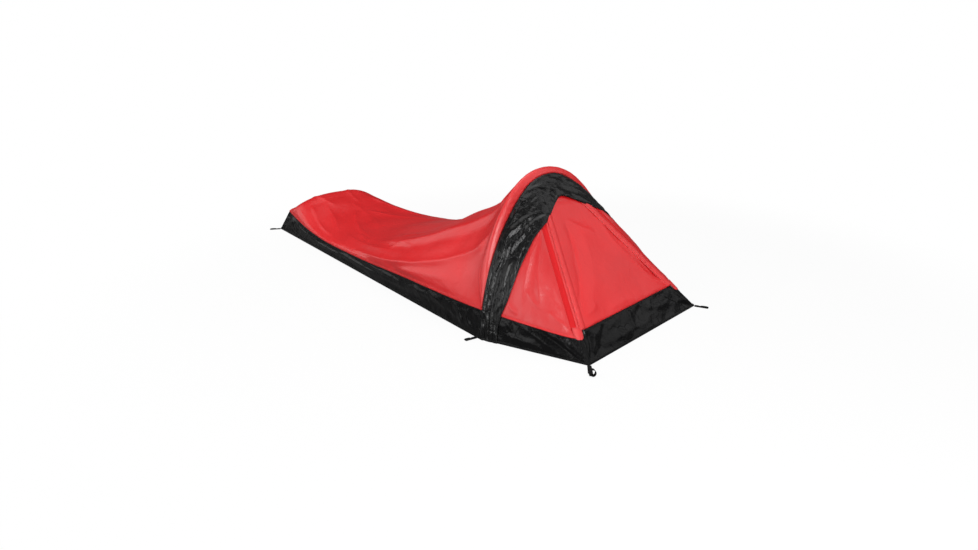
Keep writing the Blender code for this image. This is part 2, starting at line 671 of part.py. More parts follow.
def ridge_welt(side, name):
    """Make the fixed strip of the head end between the ridge and the zip."""
    up = np.linspace(up_slope(END_WALL_HEIGHT), up_slope(RIDGE_TOP_Z) - DOOR_MOUTH + DOOR_TUCK, 9)
    outer = ridge_y(up)
    inner = zip_line_y(up) + COIL_EDGE
    across = np.linspace(0.0, 1.0, 3)[:, None]
    y = side * (inner[None] + (outer - inner)[None] * across)
    grid = np.array([HEAD_X, 0, 0]) + (up[None, :, None] * FRONT_UP) + y[..., None] * (0.0, 1.0, 0.0)
    grid = trim_edges(grid, last_row=CORNER_TRIM, first_column=2 * GAP)
    return cloth_panel(name, grid, FRONT_OUT, RED_CLOTH)


def door_panel():
    """Make the door: hinged on the head end wall, zipped up both sides, its top under the flap."""
    bottom = up_slope(END_WALL_HEIGHT) + GAP
    notch_top = bottom + DOOR_NOTCH_LENGTH + ZIP_START
    top = up_slope(RIDGE_TOP_Z) - DOOR_MOUTH + DOOR_TUCK
    notch = DOOR_NOTCH / math.cos(ZIP_LEAN)
    side_points = [(bottom, zip_line_y(bottom) - notch), (notch_top, zip_line_y(notch_top) - notch),
                   (notch_top, zip_line_y(notch_top) - COIL_EDGE),
                   (top - DOOR_CHAMFER, zip_line_y(top - DOOR_CHAMFER) - COIL_EDGE),
                   (top, zip_line_y(top) - COIL_EDGE - DOOR_CHAMFER)]
    right = [front_point(up, -y) for up, y in side_points]
    left = [front_point(up, y) for up, y in reversed(side_points)]
    return flat_plate("door_panel", right + left, RED_CLOTH, CLOTH, -FRONT_OUT)


def slider_section(scale):
    """Return the outline of a zip slider cut across: two plates, a post and four lips."""
    half = SLIDER_HALF_WIDTH * scale
    post = COIL_SLOT / 2 - GAP
    inner = half - SLIDER_LIP_WIDTH
    high = SLIDER_CHANNEL + SLIDER_PLATE
    quarter = [(post, SLIDER_CHANNEL), (inner, SLIDER_CHANNEL), (inner, SLIDER_LIP),
               (half, SLIDER_LIP), (half, high)]
    upper = quarter + [(-y, z) for y, z in reversed(quarter)]
    lower = [(-y, -z) for y, z in upper]
    return upper + lower


def zip_slider(side, name):
    """Make a zip slider with its bail, parked at the bottom of its zip."""
    frame = zip_frame(side, ZIP_BOTTOM)
    bm = bmesh.new()
    rings = []
    for x, scale in SLIDER_STATIONS:
        rings.append([bm.verts.new(frame @ Vector((x, y, z))) for y, z in slider_section(scale)])
    count = len(rings[0])
    for lower, upper in zip(rings, rings[1:]):
        for i in range(count):
            j = (i + 1) % count
            bm.faces.new((lower[i], lower[j], upper[j], upper[i]))
    bm.faces.new(rings[0])
    bm.faces.new(rings[-1])
    return mesh_object(name, bm, STEEL)


def slider_bail(side, name):
    """Make the small bridge on a slider that carries its pull."""
    frame = zip_frame(side, ZIP_BOTTOM)
    base = SLIDER_CHANNEL + SLIDER_PLATE + GAP
    middle = (BAIL_START + BAIL_END) / 2
    half = (BAIL_END - BAIL_START) / 2
    path = []
    for i in range(9):
        turn = math.pi * i / 8
        path.append((middle - half * math.cos(turn), base + BAIL_HEIGHT * math.sin(turn) ** 0.6))
    return ribbon(name, path, BAIL_WIDTH, BAIL_THICK, frame, STEEL, keep_above=base)


def ribbon(name, path, width, thickness, frame, make_material, keep_above=None):
    """Sweep a strip along a path in a frame's XZ plane, with its width across the frame."""
    path = np.array(path, dtype=float)
    tangent = np.gradient(path, axis=0)
    tangent = tangent / np.linalg.norm(tangent, axis=1, keepdims=True)
    side = np.stack([-tangent[:, 1], tangent[:, 0]], axis=1) * thickness / 2
    loops = [path + side, path - side]
    if keep_above is not None:
        for loop in loops:
            loop[:, 1] = np.maximum(loop[:, 1], keep_above)
    outline = np.concatenate([loops[0], loops[1][::-1]])
    bm = bmesh.new()
    ends = []
    for y in (-width / 2, width / 2):
        ends.append([bm.verts.new(frame @ Vector((x, y, z))) for x, z in outline])
    count = len(outline)
    half = len(path)
    for i in range(count):
        j = (i + 1) % count
        bm.faces.new((ends[0][i], ends[0][j], ends[1][j], ends[1][i]))
    for end in ends:
        for i in range(half - 1):
            bm.faces.new((end[i], end[i + 1], end[count - 2 - i], end[count - 1 - i]))
    return mesh_object(name, bm, make_material)


def pull_axis(side):
    """Return the point that a zip pull swings about, under its bail."""
    frame = zip_frame(side, ZIP_BOTTOM)
    rise = SLIDER_CHANNEL + SLIDER_PLATE + GAP + PULL_AXIS_RISE
    return frame @ Vector((PULL_AXIS_ALONG, 0.0, rise))


def zip_pull(side, name):
    """Make a pull tab: a bar under the bail, two arms past it and a long rounded tab."""
    frame = zip_frame(side, ZIP_BOTTOM)
    frame.col[3][:3] = pull_axis(side)
    half = PULL_WIDTH / 2
    window = BAIL_WIDTH / 2 + PULL_SIDE_GAP
    outer = [(PULL_ROD, -half), (-PULL_LENGTH + half, -half)]
    for i in range(1, 8):
        turn = math.pi * i / 8
        outer.append((-PULL_LENGTH + half - half * math.sin(turn), -half * math.cos(turn)))
    outer += [(-PULL_LENGTH + half, half), (PULL_ROD, half)]
    inner = [(-PULL_ROD, -window), (-PULL_WINDOW, -window), (-PULL_WINDOW, window), (-PULL_ROD, window)]
    bm = bmesh.new()
    edges = []
    for loop in (outer, inner):
        verts = [bm.verts.new((x, y, -PULL_THICK / 2)) for x, y in loop]
        edges += [bm.edges.new((verts[i], verts[(i + 1) % len(verts)])) for i in range(len(verts))]
    filled = bmesh.ops.triangle_fill(bm, edges=edges, use_beauty=True)
    faces = [item for item in filled["geom"] if isinstance(item, bmesh.types.BMFace)]
    extruded = bmesh.ops.extrude_face_region(bm, geom=faces)
    moved = [item for item in extruded["geom"] if isinstance(item, bmesh.types.BMVert)]
    bmesh.ops.translate(bm, verts=moved, vec=(0.0, 0.0, PULL_THICK))
    bmesh.ops.transform(bm, matrix=frame, verts=bm.verts)
    return mesh_object(name, bm, STEEL)


def corner_tongue(side, name):
    """Make the rounded red tongue folded over the foot of a ridge."""
    start = up_slope(END_WALL_HEIGHT)
    up = np.linspace(start - TONGUE_DROP, start + TONGUE_UP, 9)
    share = np.clip((up - up[0]) / TONGUE_HALF_WIDTH, 0.0, 1.0)
    round_end = np.sqrt(1.0 - (1.0 - share) ** 2)
    half = TONGUE_HALF_WIDTH * (TONGUE_TIP + (1.0 - TONGUE_TIP) * round_end)
    across = np.linspace(-1.0, 1.0, 7)
    grid = np.zeros((len(up), len(across), 3))
    for i, place in enumerate(up):
        for j, step in enumerate(across):
            off = abs(step) * half[i]
            if step <= 0.0:
                grid[i, j] = front_point(place, side * (ridge_y(place) - off))
            else:
                ridge = front_point(place, side * ridge_y(place))
                reach = np.hypot(ridge[0], HOOP_HALF_WIDTH - abs(ridge[1]))
                grid[i, j] = front_side_point(ridge[2], 1.0 - off / reach, side)
    normals = grid_normals(grid)
    normals = normals * np.sign(normals @ (0.6, 0.6 * side, 0.5))[..., None]
    grid = grid + normals * (TONGUE_LIFT + CLOTH)
    return cloth_panel(name, grid, (0.6, 0.6 * side, 0.5), RED_CLOTH)


def pole_path(count):
    """Return evenly spaced points along the middle of the pole, from the right foot to the left."""
    arch = POLE.points(count)
    x = POLE_X + seam_x(arch[:, 1])
    return np.stack([x, arch[:, 0], arch[:, 1] + POLE_AXIS_HEIGHT], axis=-1)


def pole_length():
    """Return the length of the pole along its middle."""
    path = pole_path(400)
    return float(np.sum(np.linalg.norm(np.diff(path, axis=0), axis=1)))


def pole_points(start, end, count):
    """Return points along the pole between two distances from its right foot."""
    path = pole_path(400)
    run = np.concatenate([[0.0], np.cumsum(np.linalg.norm(np.diff(path, axis=0), axis=1))])
    at = np.linspace(start, end, count)
    return np.stack([np.interp(at, run, path[:, i]) for i in range(3)], axis=-1)


def tube(name, points, radius, bore, make_material, resolution=4):
    """Bend a round tube or, with no bore, a solid round along points."""
    curve = bpy.data.curves.new(name, "CURVE")
    curve.dimensions = "3D"
    curve.bevel_depth = radius
    curve.bevel_resolution = resolution
    curve.use_fill_caps = bore is None
    spline = curve.splines.new("POLY")
    spline.points.add(len(points) - 1)
    for item, point in zip(spline.points, points):
        item.co = (*point, 1.0)
    spline.use_smooth = True
    thing = add_object(name, curve, make_material)
    if bore is not None:
        solidify = thing.modifiers.new("Wall", "SOLIDIFY")
        solidify.thickness = radius - bore
        solidify.offset = -1.0
    return thing


def hoop_pole():
    """Make the shock-corded pole: tubes, the ferrules that join them and the cord inside."""
    things = []
    whole = pole_length()
    first = TIP_COLLAR_LENGTH
    step = (whole - 2 * first) / POLE_SECTIONS
    for i in range(POLE_SECTIONS):
        start = first + step * i + (POLE_SECTION_GAP if i else 0.0)
        end = first + step * (i + 1)
        things.append(tube(f"pole_section_{i + 1}", pole_points(start, end, 18),
                           POLE_RADIUS, POLE_BORE, ALUMINIUM))
    for i in range(1, POLE_SECTIONS):
        middle = first + step * i
        points = pole_points(middle - FERRULE_LENGTH / 2, middle + FERRULE_LENGTH / 2, 5)
        things.append(tube(f"pole_ferrule_{i}", points, FERRULE_RADIUS, FERRULE_BORE, STEEL))
    inside = first + TIP_SHANK_LENGTH + GAP
    cord = pole_points(inside, whole - inside, 44)
    things.append(tube("pole_shock_cord", cord, SHOCK_CORD_RADIUS, None, ELASTIC, 2))
    for side, name in ((-1.0, "pole_tip_right"), (1.0, "pole_tip_left")):
        things.append(pole_tip(side, name))
    return things


def pole_tip(side, name):
    """Turn a pole tip: a ball that sits in its pocket, a collar and a shank up the bore."""
    shank = POLE_BORE * math.cos(math.pi / 12) - GAP
    profile = []
    for i in range(7):
        turn = -math.pi / 2 + math.radians(125.0) * i / 6
        profile.append((TIP_BALL_RADIUS * math.cos(turn), TIP_BALL_RADIUS * math.sin(turn)))
    end = TIP_COLLAR_LENGTH + TIP_SHANK_LENGTH
    profile += [(POLE_RADIUS, TIP_COLLAR_LENGTH - GAP), (shank, TIP_COLLAR_LENGTH - GAP),
                (shank, end - TIP_SHANK_CHAMFER), (shank - TIP_SHANK_CHAMFER, end), (0.0, end)]
    profile[0] = (0.0, -TIP_BALL_RADIUS)
    bm = bmesh.new()
    verts = [bm.verts.new((x, 0.0, z)) for x, z in profile]
    edges = [bm.edges.new(pair) for pair in zip(verts, verts[1:])]
    bmesh.ops.spin(bm, geom=verts + edges, cent=(0, 0, 0), axis=(0, 0, 1),
                   angle=2 * math.pi, steps=12, use_merge=True)
    bmesh.ops.remove_doubles(bm, verts=bm.verts, dist=0.00001)
    thing = mesh_object(name, bm, PLASTIC)
    foot = pole_points(0.0, end, 2)
    way = Vector((foot[1] - foot[0]) * (1.0, -side, 1.0))
    thing.location = Vector(foot[0] * (1.0, -side, 1.0))
    thing.rotation_euler = way.to_track_quat("Z", "X").to_euler()
    return thing


def pole_pocket(side, name):
    """Make the webbing strap, folded in a U, that a pole tip sits in."""
    bottom = CLOTH + GAP + WEBBING_THICK / 2
    half = POCKET_HALF_GAP + WEBBING_THICK / 2
    corner = POCKET_CORNER
    bend = 0.3 * corner
    path = [(-half, POCKET_HEIGHT), (-half, bottom + corner), (-half + bend, bottom + bend),
            (-half + corner, bottom), (half - corner, bottom), (half - bend, bottom + bend),
            (half, bottom + corner), (half, POCKET_HEIGHT)]
    leg = POLE.half_width_at(POCKET_HEIGHT - POLE_AXIS_HEIGHT) - POLE_FOOT_HALF_WIDTH
    shift = np.interp([z for _, z in path], (POLE_AXIS_HEIGHT, POCKET_HEIGHT), (0.0, leg))
    path = [(y + shift[i], z) for i, (y, z) in enumerate(path)]
    frame = Matrix.Translation((POLE_X, side * POLE_FOOT_HALF_WIDTH, 0.0))
    frame = frame @ Matrix.Rotation(side * math.pi / 2, 4, "Z")
    return ribbon(name, path, POCKET_WIDTH, WEBBING_THICK, frame, WEBBING)


def peg_loop(name, place, bearing, length):
    """Make a peg loop: webbing doubled into a tail, then opened in an eye a peg goes through."""
    half = WEBBING_THICK / 2
    low = LOOP_LIFT + half
    top = low + WEBBING_THICK + 2 * GAP
    eye = length - LOOP_TAIL
    path = [(0.0, top), (LOOP_TAIL, top)]
    for base, line in ((top, LOOP_UPPER), (low, LOOP_LOWER)):
        path += [(LOOP_TAIL + eye * along - half, base + (LOOP_EYE_HEIGHT - base) * rise)
                 for along, rise in line]
    path += [(LOOP_TAIL, low), (0.0, low)]
    turn = math.radians(bearing)
    root = (place[0] + LOOP_STAND_OFF * math.cos(turn), place[1] + LOOP_STAND_OFF * math.sin(turn), 0.0)
    frame = Matrix.Translation(root)
    frame = frame @ Matrix.Rotation(turn, 4, "Z")
    return ribbon(name, path, WEBBING_WIDTH, WEBBING_THICK, frame, WEBBING)


def build_tub():
    """Make the floor and the black walls round it."""
    floor_panel()
    foot_wall()
    head_end_wall()
    for side, word in ((-1.0, "right"), (1.0, "left")):
        body_wall(side, f"body_wall_{word}")
        head_side_wall(side, f"head_side_wall_{word}")
        pole_pocket(side, f"pole_pocket_{word}")


def build_body():
    """Make the red cloth above the walls and the black flap over the hoop."""
    body_canopy()
    hoop_sleeve()
    storm_flap()
    for side, word in ((-1.0, "right"), (1.0, "left")):
        head_gusset(side, f"head_gusset_{word}")
        ridge_welt(side, f"ridge_welt_{word}")
        zip_coil(f"zip_coil_body_{word}", side, True, 0.0)
        corner_tongue(side, f"corner_tongue_{word}")


def build_door():
    """Make the door and its halves of the zips, hung on the head end wall."""
    things = [door_panel()]
    for side, word in ((-1.0, "right"), (1.0, "left")):
        things.append(zip_coil(f"zip_coil_door_{word}", side, False, DOOR_NOTCH_LENGTH))
    hinge = place_empty("door_hinge", front_point(up_slope(END_WALL_HEIGHT), 0.0))
    hang_on(hinge, things)


def build_sliders():
    """Make the zip sliders and the pulls that swing on them."""
    for side, word in ((-1.0, "right"), (1.0, "left")):
        slider = place_empty(f"zip_{word}_run", zip_frame(side, ZIP_BOTTOM).translation)
        hang_on(slider, [zip_slider(side, f"zip_slider_{word}"), slider_bail(side, f"zip_bail_{word}")])
        swing = place_empty(f"zip_pull_{word}_swing", pull_axis(side))
        hang_on(swing, [zip_pull(side, f"zip_pull_{word}")])
        hang_on(slider, [swing])


def build_pole():
    """Make the hoop pole, which folds down about the line through its two feet."""
    fold = place_empty("hoop_fold", (POLE_X, 0.0, POLE_AXIS_HEIGHT))
    hang_on(fold, hoop_pole())


def build_loops():
    """Make the six peg loops, each on the stitching that it swings on."""
    for name, (place, bearing, length) in PEG_LOOPS.items():
        stitching = place_empty(f"{name}_swing", (place[0], place[1], LOOP_PIVOT_HEIGHT))
        hang_on(stitching, [peg_loop(name, place, bearing, length)])


def main():
    """Build the shelter."""
    clear_scene()
    build_tub()
    build_body()
    build_door()
    build_sliders()
    build_pole()
    build_loops()


main()
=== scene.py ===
"""Hooped bivy shelter: the sewn cloth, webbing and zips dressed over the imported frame.

Metres, +Z up, in the frame's own axes: X runs from the foot to the head end, Y across it, and the
origin lies on the ground midway between the feet of the hoop.
"""

import json
import logging
import math
from collections.abc import Sequence
from dataclasses import dataclass, field
from enum import Enum
from functools import cache, reduce

import bmesh
import bpy
import numpy as np
from mathutils import Matrix, Vector

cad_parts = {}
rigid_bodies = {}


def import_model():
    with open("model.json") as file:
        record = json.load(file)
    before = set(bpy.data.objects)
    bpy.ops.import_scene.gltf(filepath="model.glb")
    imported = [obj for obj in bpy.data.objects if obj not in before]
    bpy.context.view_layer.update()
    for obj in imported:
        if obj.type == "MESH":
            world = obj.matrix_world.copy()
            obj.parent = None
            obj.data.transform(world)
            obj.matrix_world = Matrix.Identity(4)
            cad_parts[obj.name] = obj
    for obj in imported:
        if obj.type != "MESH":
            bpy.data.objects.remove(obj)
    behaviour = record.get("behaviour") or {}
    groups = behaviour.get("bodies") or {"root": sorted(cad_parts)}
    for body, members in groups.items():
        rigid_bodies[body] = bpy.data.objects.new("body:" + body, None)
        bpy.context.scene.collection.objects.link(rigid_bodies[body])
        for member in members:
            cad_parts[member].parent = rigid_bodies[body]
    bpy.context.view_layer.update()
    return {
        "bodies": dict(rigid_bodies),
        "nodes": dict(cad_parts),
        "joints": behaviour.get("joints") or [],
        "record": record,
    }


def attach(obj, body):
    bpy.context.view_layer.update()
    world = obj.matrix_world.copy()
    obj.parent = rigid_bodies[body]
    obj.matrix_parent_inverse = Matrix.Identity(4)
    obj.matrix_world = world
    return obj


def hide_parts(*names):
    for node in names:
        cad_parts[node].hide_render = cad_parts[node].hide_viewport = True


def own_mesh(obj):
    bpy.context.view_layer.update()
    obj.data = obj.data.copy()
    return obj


LOG = logging.getLogger("bivy_shelter")
Grid = np.ndarray
Colour = tuple[float, float, float]
UPWARDS = np.array([0.0, 0.0, 1.0])


class Side(Enum):
    """The two long sides, as seen by someone lying in the shelter."""

    RIGHT = -1
    LEFT = 1

    @property
    def word(self) -> str:
        """Return the side's word in the names of pieces."""
        return self.name.lower()


# --------------------------------------------------------------------------- form


def smooth_step(value: Grid, start: float, end: float) -> Grid:
    """Rise smoothly from 0 at start to 1 at end.

    Args:
        value: Where to read the step.
        start: Where it leaves 0.
        end: Where it reaches 1.

    Returns:
        The step's height at each value.
    """
    t = np.clip((np.asarray(value, dtype=float) - start) / (end - start), 0.0, 1.0)
    return t * t * (3.0 - 2.0 * t)


def smooth_curve(points: Sequence[tuple[float, float]], at: Grid) -> Grid:
    """Read a smooth curve that runs through points.

    Args:
        points: The (x, value) pairs it runs through, by rising x.
        at: Where to read it.

    Returns:
        Its value at each place.
    """
    xs, values = np.array(points, dtype=float).T
    slopes = np.gradient(values, xs)
    at = np.clip(np.asarray(at, dtype=float), xs[0], xs[-1])
    index = np.clip(np.searchsorted(xs, at, side="right") - 1, 0, len(xs) - 2)
    step = xs[index + 1] - xs[index]
    t = (at - xs[index]) / step
    rise = (1 + 2 * t) * (1 - t) ** 2 * values[index] + t * t * (3 - 2 * t) * values[index + 1]
    lean = t * (1 - t) ** 2 * slopes[index] - t * t * (1 - t) * slopes[index + 1]
    return rise + lean * step


def finer(values: Grid, count: int) -> Grid:
    """Resample an array smoothly along its first axis.

    Args:
        values: What to resample.
        count: How many samples to return.

    Returns:
        The resampled array.
    """
    last = len(values) - 1
    at = np.linspace(0.0, last, count)
    index = np.clip(at.astype(int), 0, last - 1)
    t = (at - index).reshape((-1,) + (1,) * (values.ndim - 1))
    p0, p1 = values[np.maximum(index - 1, 0)], values[index]
    p2, p3 = values[index + 1], values[np.minimum(index + 2, last)]
    bend = 2 * p0 - 5 * p1 + 4 * p2 - p3 + t * (3 * (p1 - p2) + p3 - p0)
    return p1 + 0.5 * t * (p2 - p0 + t * bend)


def unit(vectors: Grid) -> Grid:
    """Return vectors at length one."""
    return vectors / np.maximum(np.linalg.norm(vectors, axis=-1, keepdims=True), 1e-12)


def grid_normals(grid: Grid) -> Grid:
    """Return the unit normals of a grid of places."""
    return unit(np.cross(np.gradient(grid, axis=0), np.gradient(grid, axis=1)))


def run_along(path: Grid) -> Grid:
    """Return each place's distance along a path."""
    return np.concatenate([[0.0], np.cumsum(np.linalg.norm(np.diff(path, axis=0), axis=1))])


def shares(rows: Sequence[float], columns: Sequence[float]) -> list[Grid]:
    """Return the values down and across a grid, each from its start, end and count."""
    return np.meshgrid(np.linspace(*rows), np.linspace(*columns), indexing="ij")


def bowed(start: Grid, pull: Grid, end: Grid, share: Grid) -> Grid:
    """Span two rows of places with quadratic curves.

    Args:
        start: The first row.
        pull: What each curve is pulled towards.
        end: The last row.
        share: How far along the curves to go, in an array of one row.

    Returns:
        The grid of places.
    """
    return ((1 - share) ** 2 * start[:, None] + 2 * share * (1 - share) * pull[:, None]
            + share * share * end[:, None])


@dataclass(frozen=True)
class Arch:
    """A hoop in its own plane: one arc over the top, and a flatter arc down each leg."""

    half_width: float
    height: float
    top_radius: float
    top_angle: float

    @property
    def knee(self) -> tuple[float, float]:
        """Return where the top arc meets a leg, as (y, z)."""
        return (self.top_radius * math.sin(self.top_angle),
                self.height - self.top_radius + self.top_radius * math.cos(self.top_angle))

    @property
    def leg(self) -> tuple[float, float, float]:
        """Return a leg arc's middle and radius, as (y, z, radius)."""
        knee_y, knee_z = self.knee
        across = self.half_width - knee_y
        turn = math.atan2(knee_z, across) - self.top_angle
        radius = math.hypot(across, knee_z) / (2.0 * math.sin(turn))
        return (knee_y - radius * math.sin(self.top_angle),
                knee_z - radius * math.cos(self.top_angle), radius)

    def half_width_at(self, z: Grid) -> Grid:
        """Return how far out the hoop stands at a height."""
        z = np.asarray(z, dtype=float)
        leg_y, leg_z, leg_radius = self.leg
        top = self.top_radius ** 2 - (z - self.height + self.top_radius) ** 2
        low = leg_radius ** 2 - (z - leg_z) ** 2
        return np.where(z > self.knee[1], np.sqrt(np.maximum(top, 0.0)),
                        leg_y + np.sqrt(np.maximum(low, 0.0)))

    def points(self, count: int, lowest: float = 0.0) -> Grid:
        """Return evenly spaced (y, z) from the right leg over the top to the left leg.

        Args:
            count: How many places to return.
            lowest: The height at which the legs are cut off.

        Returns:
            The places, one to a row.
        """
        knee_z = self.knee[1]
        samples = 300
        over = np.sin(np.linspace(0.0, math.pi / 2, samples))[1:]
        fine = np.concatenate([np.linspace(lowest, knee_z, samples),
                               knee_z + (self.height - knee_z) * over])
        half = np.stack([-self.half_width_at(fine), fine], axis=1)
        half[-1, 0] = 0.0
        whole = np.concatenate([half, (half * (-1.0, 1.0))[::-1][1:]])
        run = run_along(whole)
        at = np.linspace(0.0, run[-1], count)
        return np.stack([np.interp(at, run, column) for column in whole.T], axis=1)


@dataclass(frozen=True)
class Form:
    """The shelter's driving sizes, the same as the frame's, and the surfaces that they give."""

    foot_x: float = -1.80
    head_x: float = 0.43
    foot_half: float = 0.2775
    hoop_half: float = 0.49
    head_half: float = 0.37
    seam: Arch = Arch(0.49, 0.549, 0.274, math.radians(34.6))
    pole: Arch = Arch(0.452, 0.5645 - 0.0092, 0.335, math.radians(41.0))
    seam_lean: float = 0.098
    pole_low: float = 0.0092
    pole_radius: float = 0.00425
    pole_behind: float = 0.018
    sleeve_width: float = 0.045
    sleeve_start: float = 0.160
    sleeve_taper: tuple[float, float] = (0.10, 0.25)
    wall_tops: tuple = ((0.0, 0.106), (0.1, 0.085), (0.25, 0.065), (0.45, 0.067), (0.72, 0.095),
                        (1.0, 0.112))
    wall_insets: tuple = ((0.0, 0.048), (0.15, 0.022), (0.45, 0.016), (0.75, 0.020), (1.0, 0.032))
    foot_top_x: float = -1.755
    foot_top_rise: float = 0.020
    end_wall_height: float = 0.088
    side_ridge_height: float = 0.074
    ridge_half: float = 0.08
    gusset_top: float = 0.93
    zip_inset: float = 0.021
    crest: tuple = ((-1.755, 0.126), (-1.69, 0.180), (-1.60, 0.161), (-1.48, 0.117), (-1.32, 0.090),
                    (-1.10, 0.106), (-0.85, 0.162), (-0.62, 0.228), (-0.44, 0.318), (-0.29, 0.392),
                    (-0.20, 0.462), (-0.143, 0.549))
    hoop_form_start: float = -0.80
    roundness: tuple[float, float] = (2.3, 2.1)
    flap_widths: tuple = ((0.0, 0.078), (0.08, 0.078), (0.168, 0.092), (0.268, 0.115),
                          (0.395, 0.136), (0.524, 0.155), (0.645, 0.173), (0.78, 0.184),
                          (0.86, 0.177), (0.91, 0.158), (0.955, 0.130), (1.0, 0.113))
    door_mouth: float = 0.118
    flap_lift: float = 0.0032
    flap_fan: float = 0.20
    cloth: float = 0.0012

    @property
    def ridge_z(self) -> float:
        """Return the height at which the ridges meet the hoop."""
        radius = self.seam.top_radius
        return self.seam.height - radius + math.sqrt(radius ** 2 - self.ridge_half ** 2)

    @property
    def wall_z(self) -> float:
        """Return the height of the tub wall at the hoop."""
        return self.wall_tops[-1][1]

    def seam_x(self, z: Grid) -> Grid:
        """Return where the seam arch stands at a height, leaning back to the foot."""
        return -self.seam_lean * np.asarray(z, dtype=float) / self.seam.height

    def on_seam(self, y: Grid, z: Grid) -> Grid:
        """Return places in the leaning plane of the seam arch."""
        return np.stack([self.seam_x(z), y, z], axis=-1)

    def sleeve_at(self, z: Grid) -> Grid:
        """Return how wide the pole sleeve is at a height."""
        return self.sleeve_width * smooth_step(z, *self.sleeve_taper)

    def floor_half(self, x: Grid) -> Grid:
        """Return half the floor's width at a distance along it."""
        return np.interp(x, (self.foot_x, 0.0, self.head_x),
                         (self.foot_half, self.hoop_half, self.head_half))

    @property
    def front_up(self) -> Grid:
        """Return the direction up the sloping head end."""
        return unit(np.array([self.seam_x(self.ridge_z) - self.head_x, 0.0, self.ridge_z]))

    @property
    def front_out(self) -> Grid:
        """Return the direction off the sloping head end."""
        up = self.front_up
        return np.array([up[2], 0.0, -up[0]])

    def front(self, up: Grid, y: Grid, out: Grid = 0.0) -> Grid:
        """Return places on the sloping head end.

        Args:
            up: How far up the slope they lie from the ground.
            y: How far across.
            out: How far off the cloth.

        Returns:
            The places.
        """
        up, y, out = (np.asarray(part, dtype=float)[..., None]
                      for part in np.broadcast_arrays(up, y, out))
        return (np.array([self.head_x, 0.0, 0.0]) + self.front_up * up + self.front_out * out
                + np.array([0.0, 1.0, 0.0]) * y)

    def up_slope(self, z: Grid) -> Grid:
        """Return how far up the sloping head end a height lies."""
        return np.asarray(z, dtype=float) / self.front_up[2]

    def ridge_y(self, up: Grid) -> Grid:
        """Return how far out a ridge stands at a place up the slope."""
        length = self.up_slope(self.ridge_z)
        return self.head_half + (self.ridge_half - self.head_half) * np.asarray(up) / length

    def wall_top(self, along: Grid, side: float) -> Grid:
        """Return the top edge of a long wall, from the foot at 0 to the hoop at 1."""
        z = smooth_curve(self.wall_tops, along)
        inset = smooth_curve(self.wall_insets, along)
        x = self.foot_top_x + (self.seam_x(self.wall_z) - self.foot_top_x) * along
        half = self.floor_half(x) - inset
        near_hoop = along ** 6
        y = side * ((1 - near_hoop) * half + near_hoop * self.seam.half_width_at(z))
        return np.stack([x, y, z], axis=-1)

    def beside_head(self, z: Grid, along: Grid, side: float) -> Grid:
        """Return places on the cone between a hoop leg and its head corner.

        Args:
            z: Their heights.
            along: How far round from the hoop, at 0, to the ridge, at 1.
            side: Which side, -1 or 1.

        Returns:
            The places.
        """
        z, along = np.broadcast_arrays(np.asarray(z, dtype=float), np.asarray(along, dtype=float))
        corner = np.array([self.head_x, side * self.head_half, 0.0])
        scale = 1.0 - along * (1.0 - z / self.ridge_z)
        height = np.minimum(z / np.maximum(scale, 1e-6), self.ridge_z)
        leg = self.on_seam(side * self.seam.half_width_at(height), height)
        return corner + scale[..., None] * (leg - corner)

    def side_wall_z(self, along: Grid) -> Grid:
        """Return the top of the tub wall beside the head, from the hoop at 0 to the ridge at 1."""
        return self.wall_z + (self.side_ridge_height - self.wall_z) * along

    def canopy(self, along: Grid, side: Grid) -> Grid:
        """Return places on the canopy: along from the foot at 0, side from -1 to 1."""
        count = 801
        hoop = self.seam.points(count, self.wall_z)
        at = (side + 1.0) * (count // 2)
        hoop_y, hoop_z = (np.interp(at, np.arange(count), column) for column in hoop.T)
        hoop_x = self.seam_x(hoop_z) - self.sleeve_at(hoop_z)
        edge = self.wall_top(along, 1.0)
        x = self.foot_top_x + (hoop_x - self.foot_top_x) * along
        last_x = self.crest[-1][0]
        middle_x = self.foot_top_x + (last_x - self.foot_top_x) * along
        crest = smooth_curve(self.crest, middle_x)
        to_hoop = smooth_step(middle_x, self.hoop_form_start, last_x)
        foot_power, body_power = self.roundness
        power = foot_power + (body_power - foot_power) * smooth_step(middle_x, -1.5, -0.9)
        turn = np.abs(side) * math.pi / 2
        low_y = np.sign(side) * np.abs(np.sin(turn)) ** (2.0 / power)
        low_z = np.abs(np.cos(turn)) ** (2.0 / power)
        high_y = hoop_y / self.seam.half_width_at(self.wall_z)
        high_z = (hoop_z - self.wall_z) / (self.seam.height - self.wall_z)
        form_y = low_y + (high_y - low_y) * to_hoop
        form_z = low_z + (high_z - low_z) * to_hoop
        z = edge[..., 2] + (crest - edge[..., 2]) * form_z
        return np.stack([x, form_y * edge[..., 1], z], axis=-1)

    def ruling(self, y: Grid, z: Grid) -> Grid:
        """Return the height at which the cone's straight line through a place meets the hoop."""
        z = np.clip(np.abs(z), 1e-6, self.ridge_z * 0.999)
        low, high = z.copy(), np.full_like(z, self.ridge_z)
        for _ in range(26):
            middle = (low + high) / 2
            reach = self.head_half + z / middle * (self.seam.half_width_at(middle) - self.head_half)
            outside = reach > np.abs(y)
            low, high = np.where(outside, middle, low), np.where(outside, high, middle)
        return (low + high) / 2

    def head_cloth_x(self, y: Grid, z: Grid) -> Grid:
        """Return how far forward the cloth of the head end stands at places across and up."""
        z = np.clip(z, 1e-6, self.ridge_z * 0.999)
        height = self.ruling(y, z)
        beside = self.head_x + z / height * (self.seam_x(height) - self.head_x)
        sloping = self.head_x + self.front_up[0] * self.up_slope(z)
        return np.where(np.abs(y) <= self.ridge_y(self.up_slope(z)), sloping, beside)

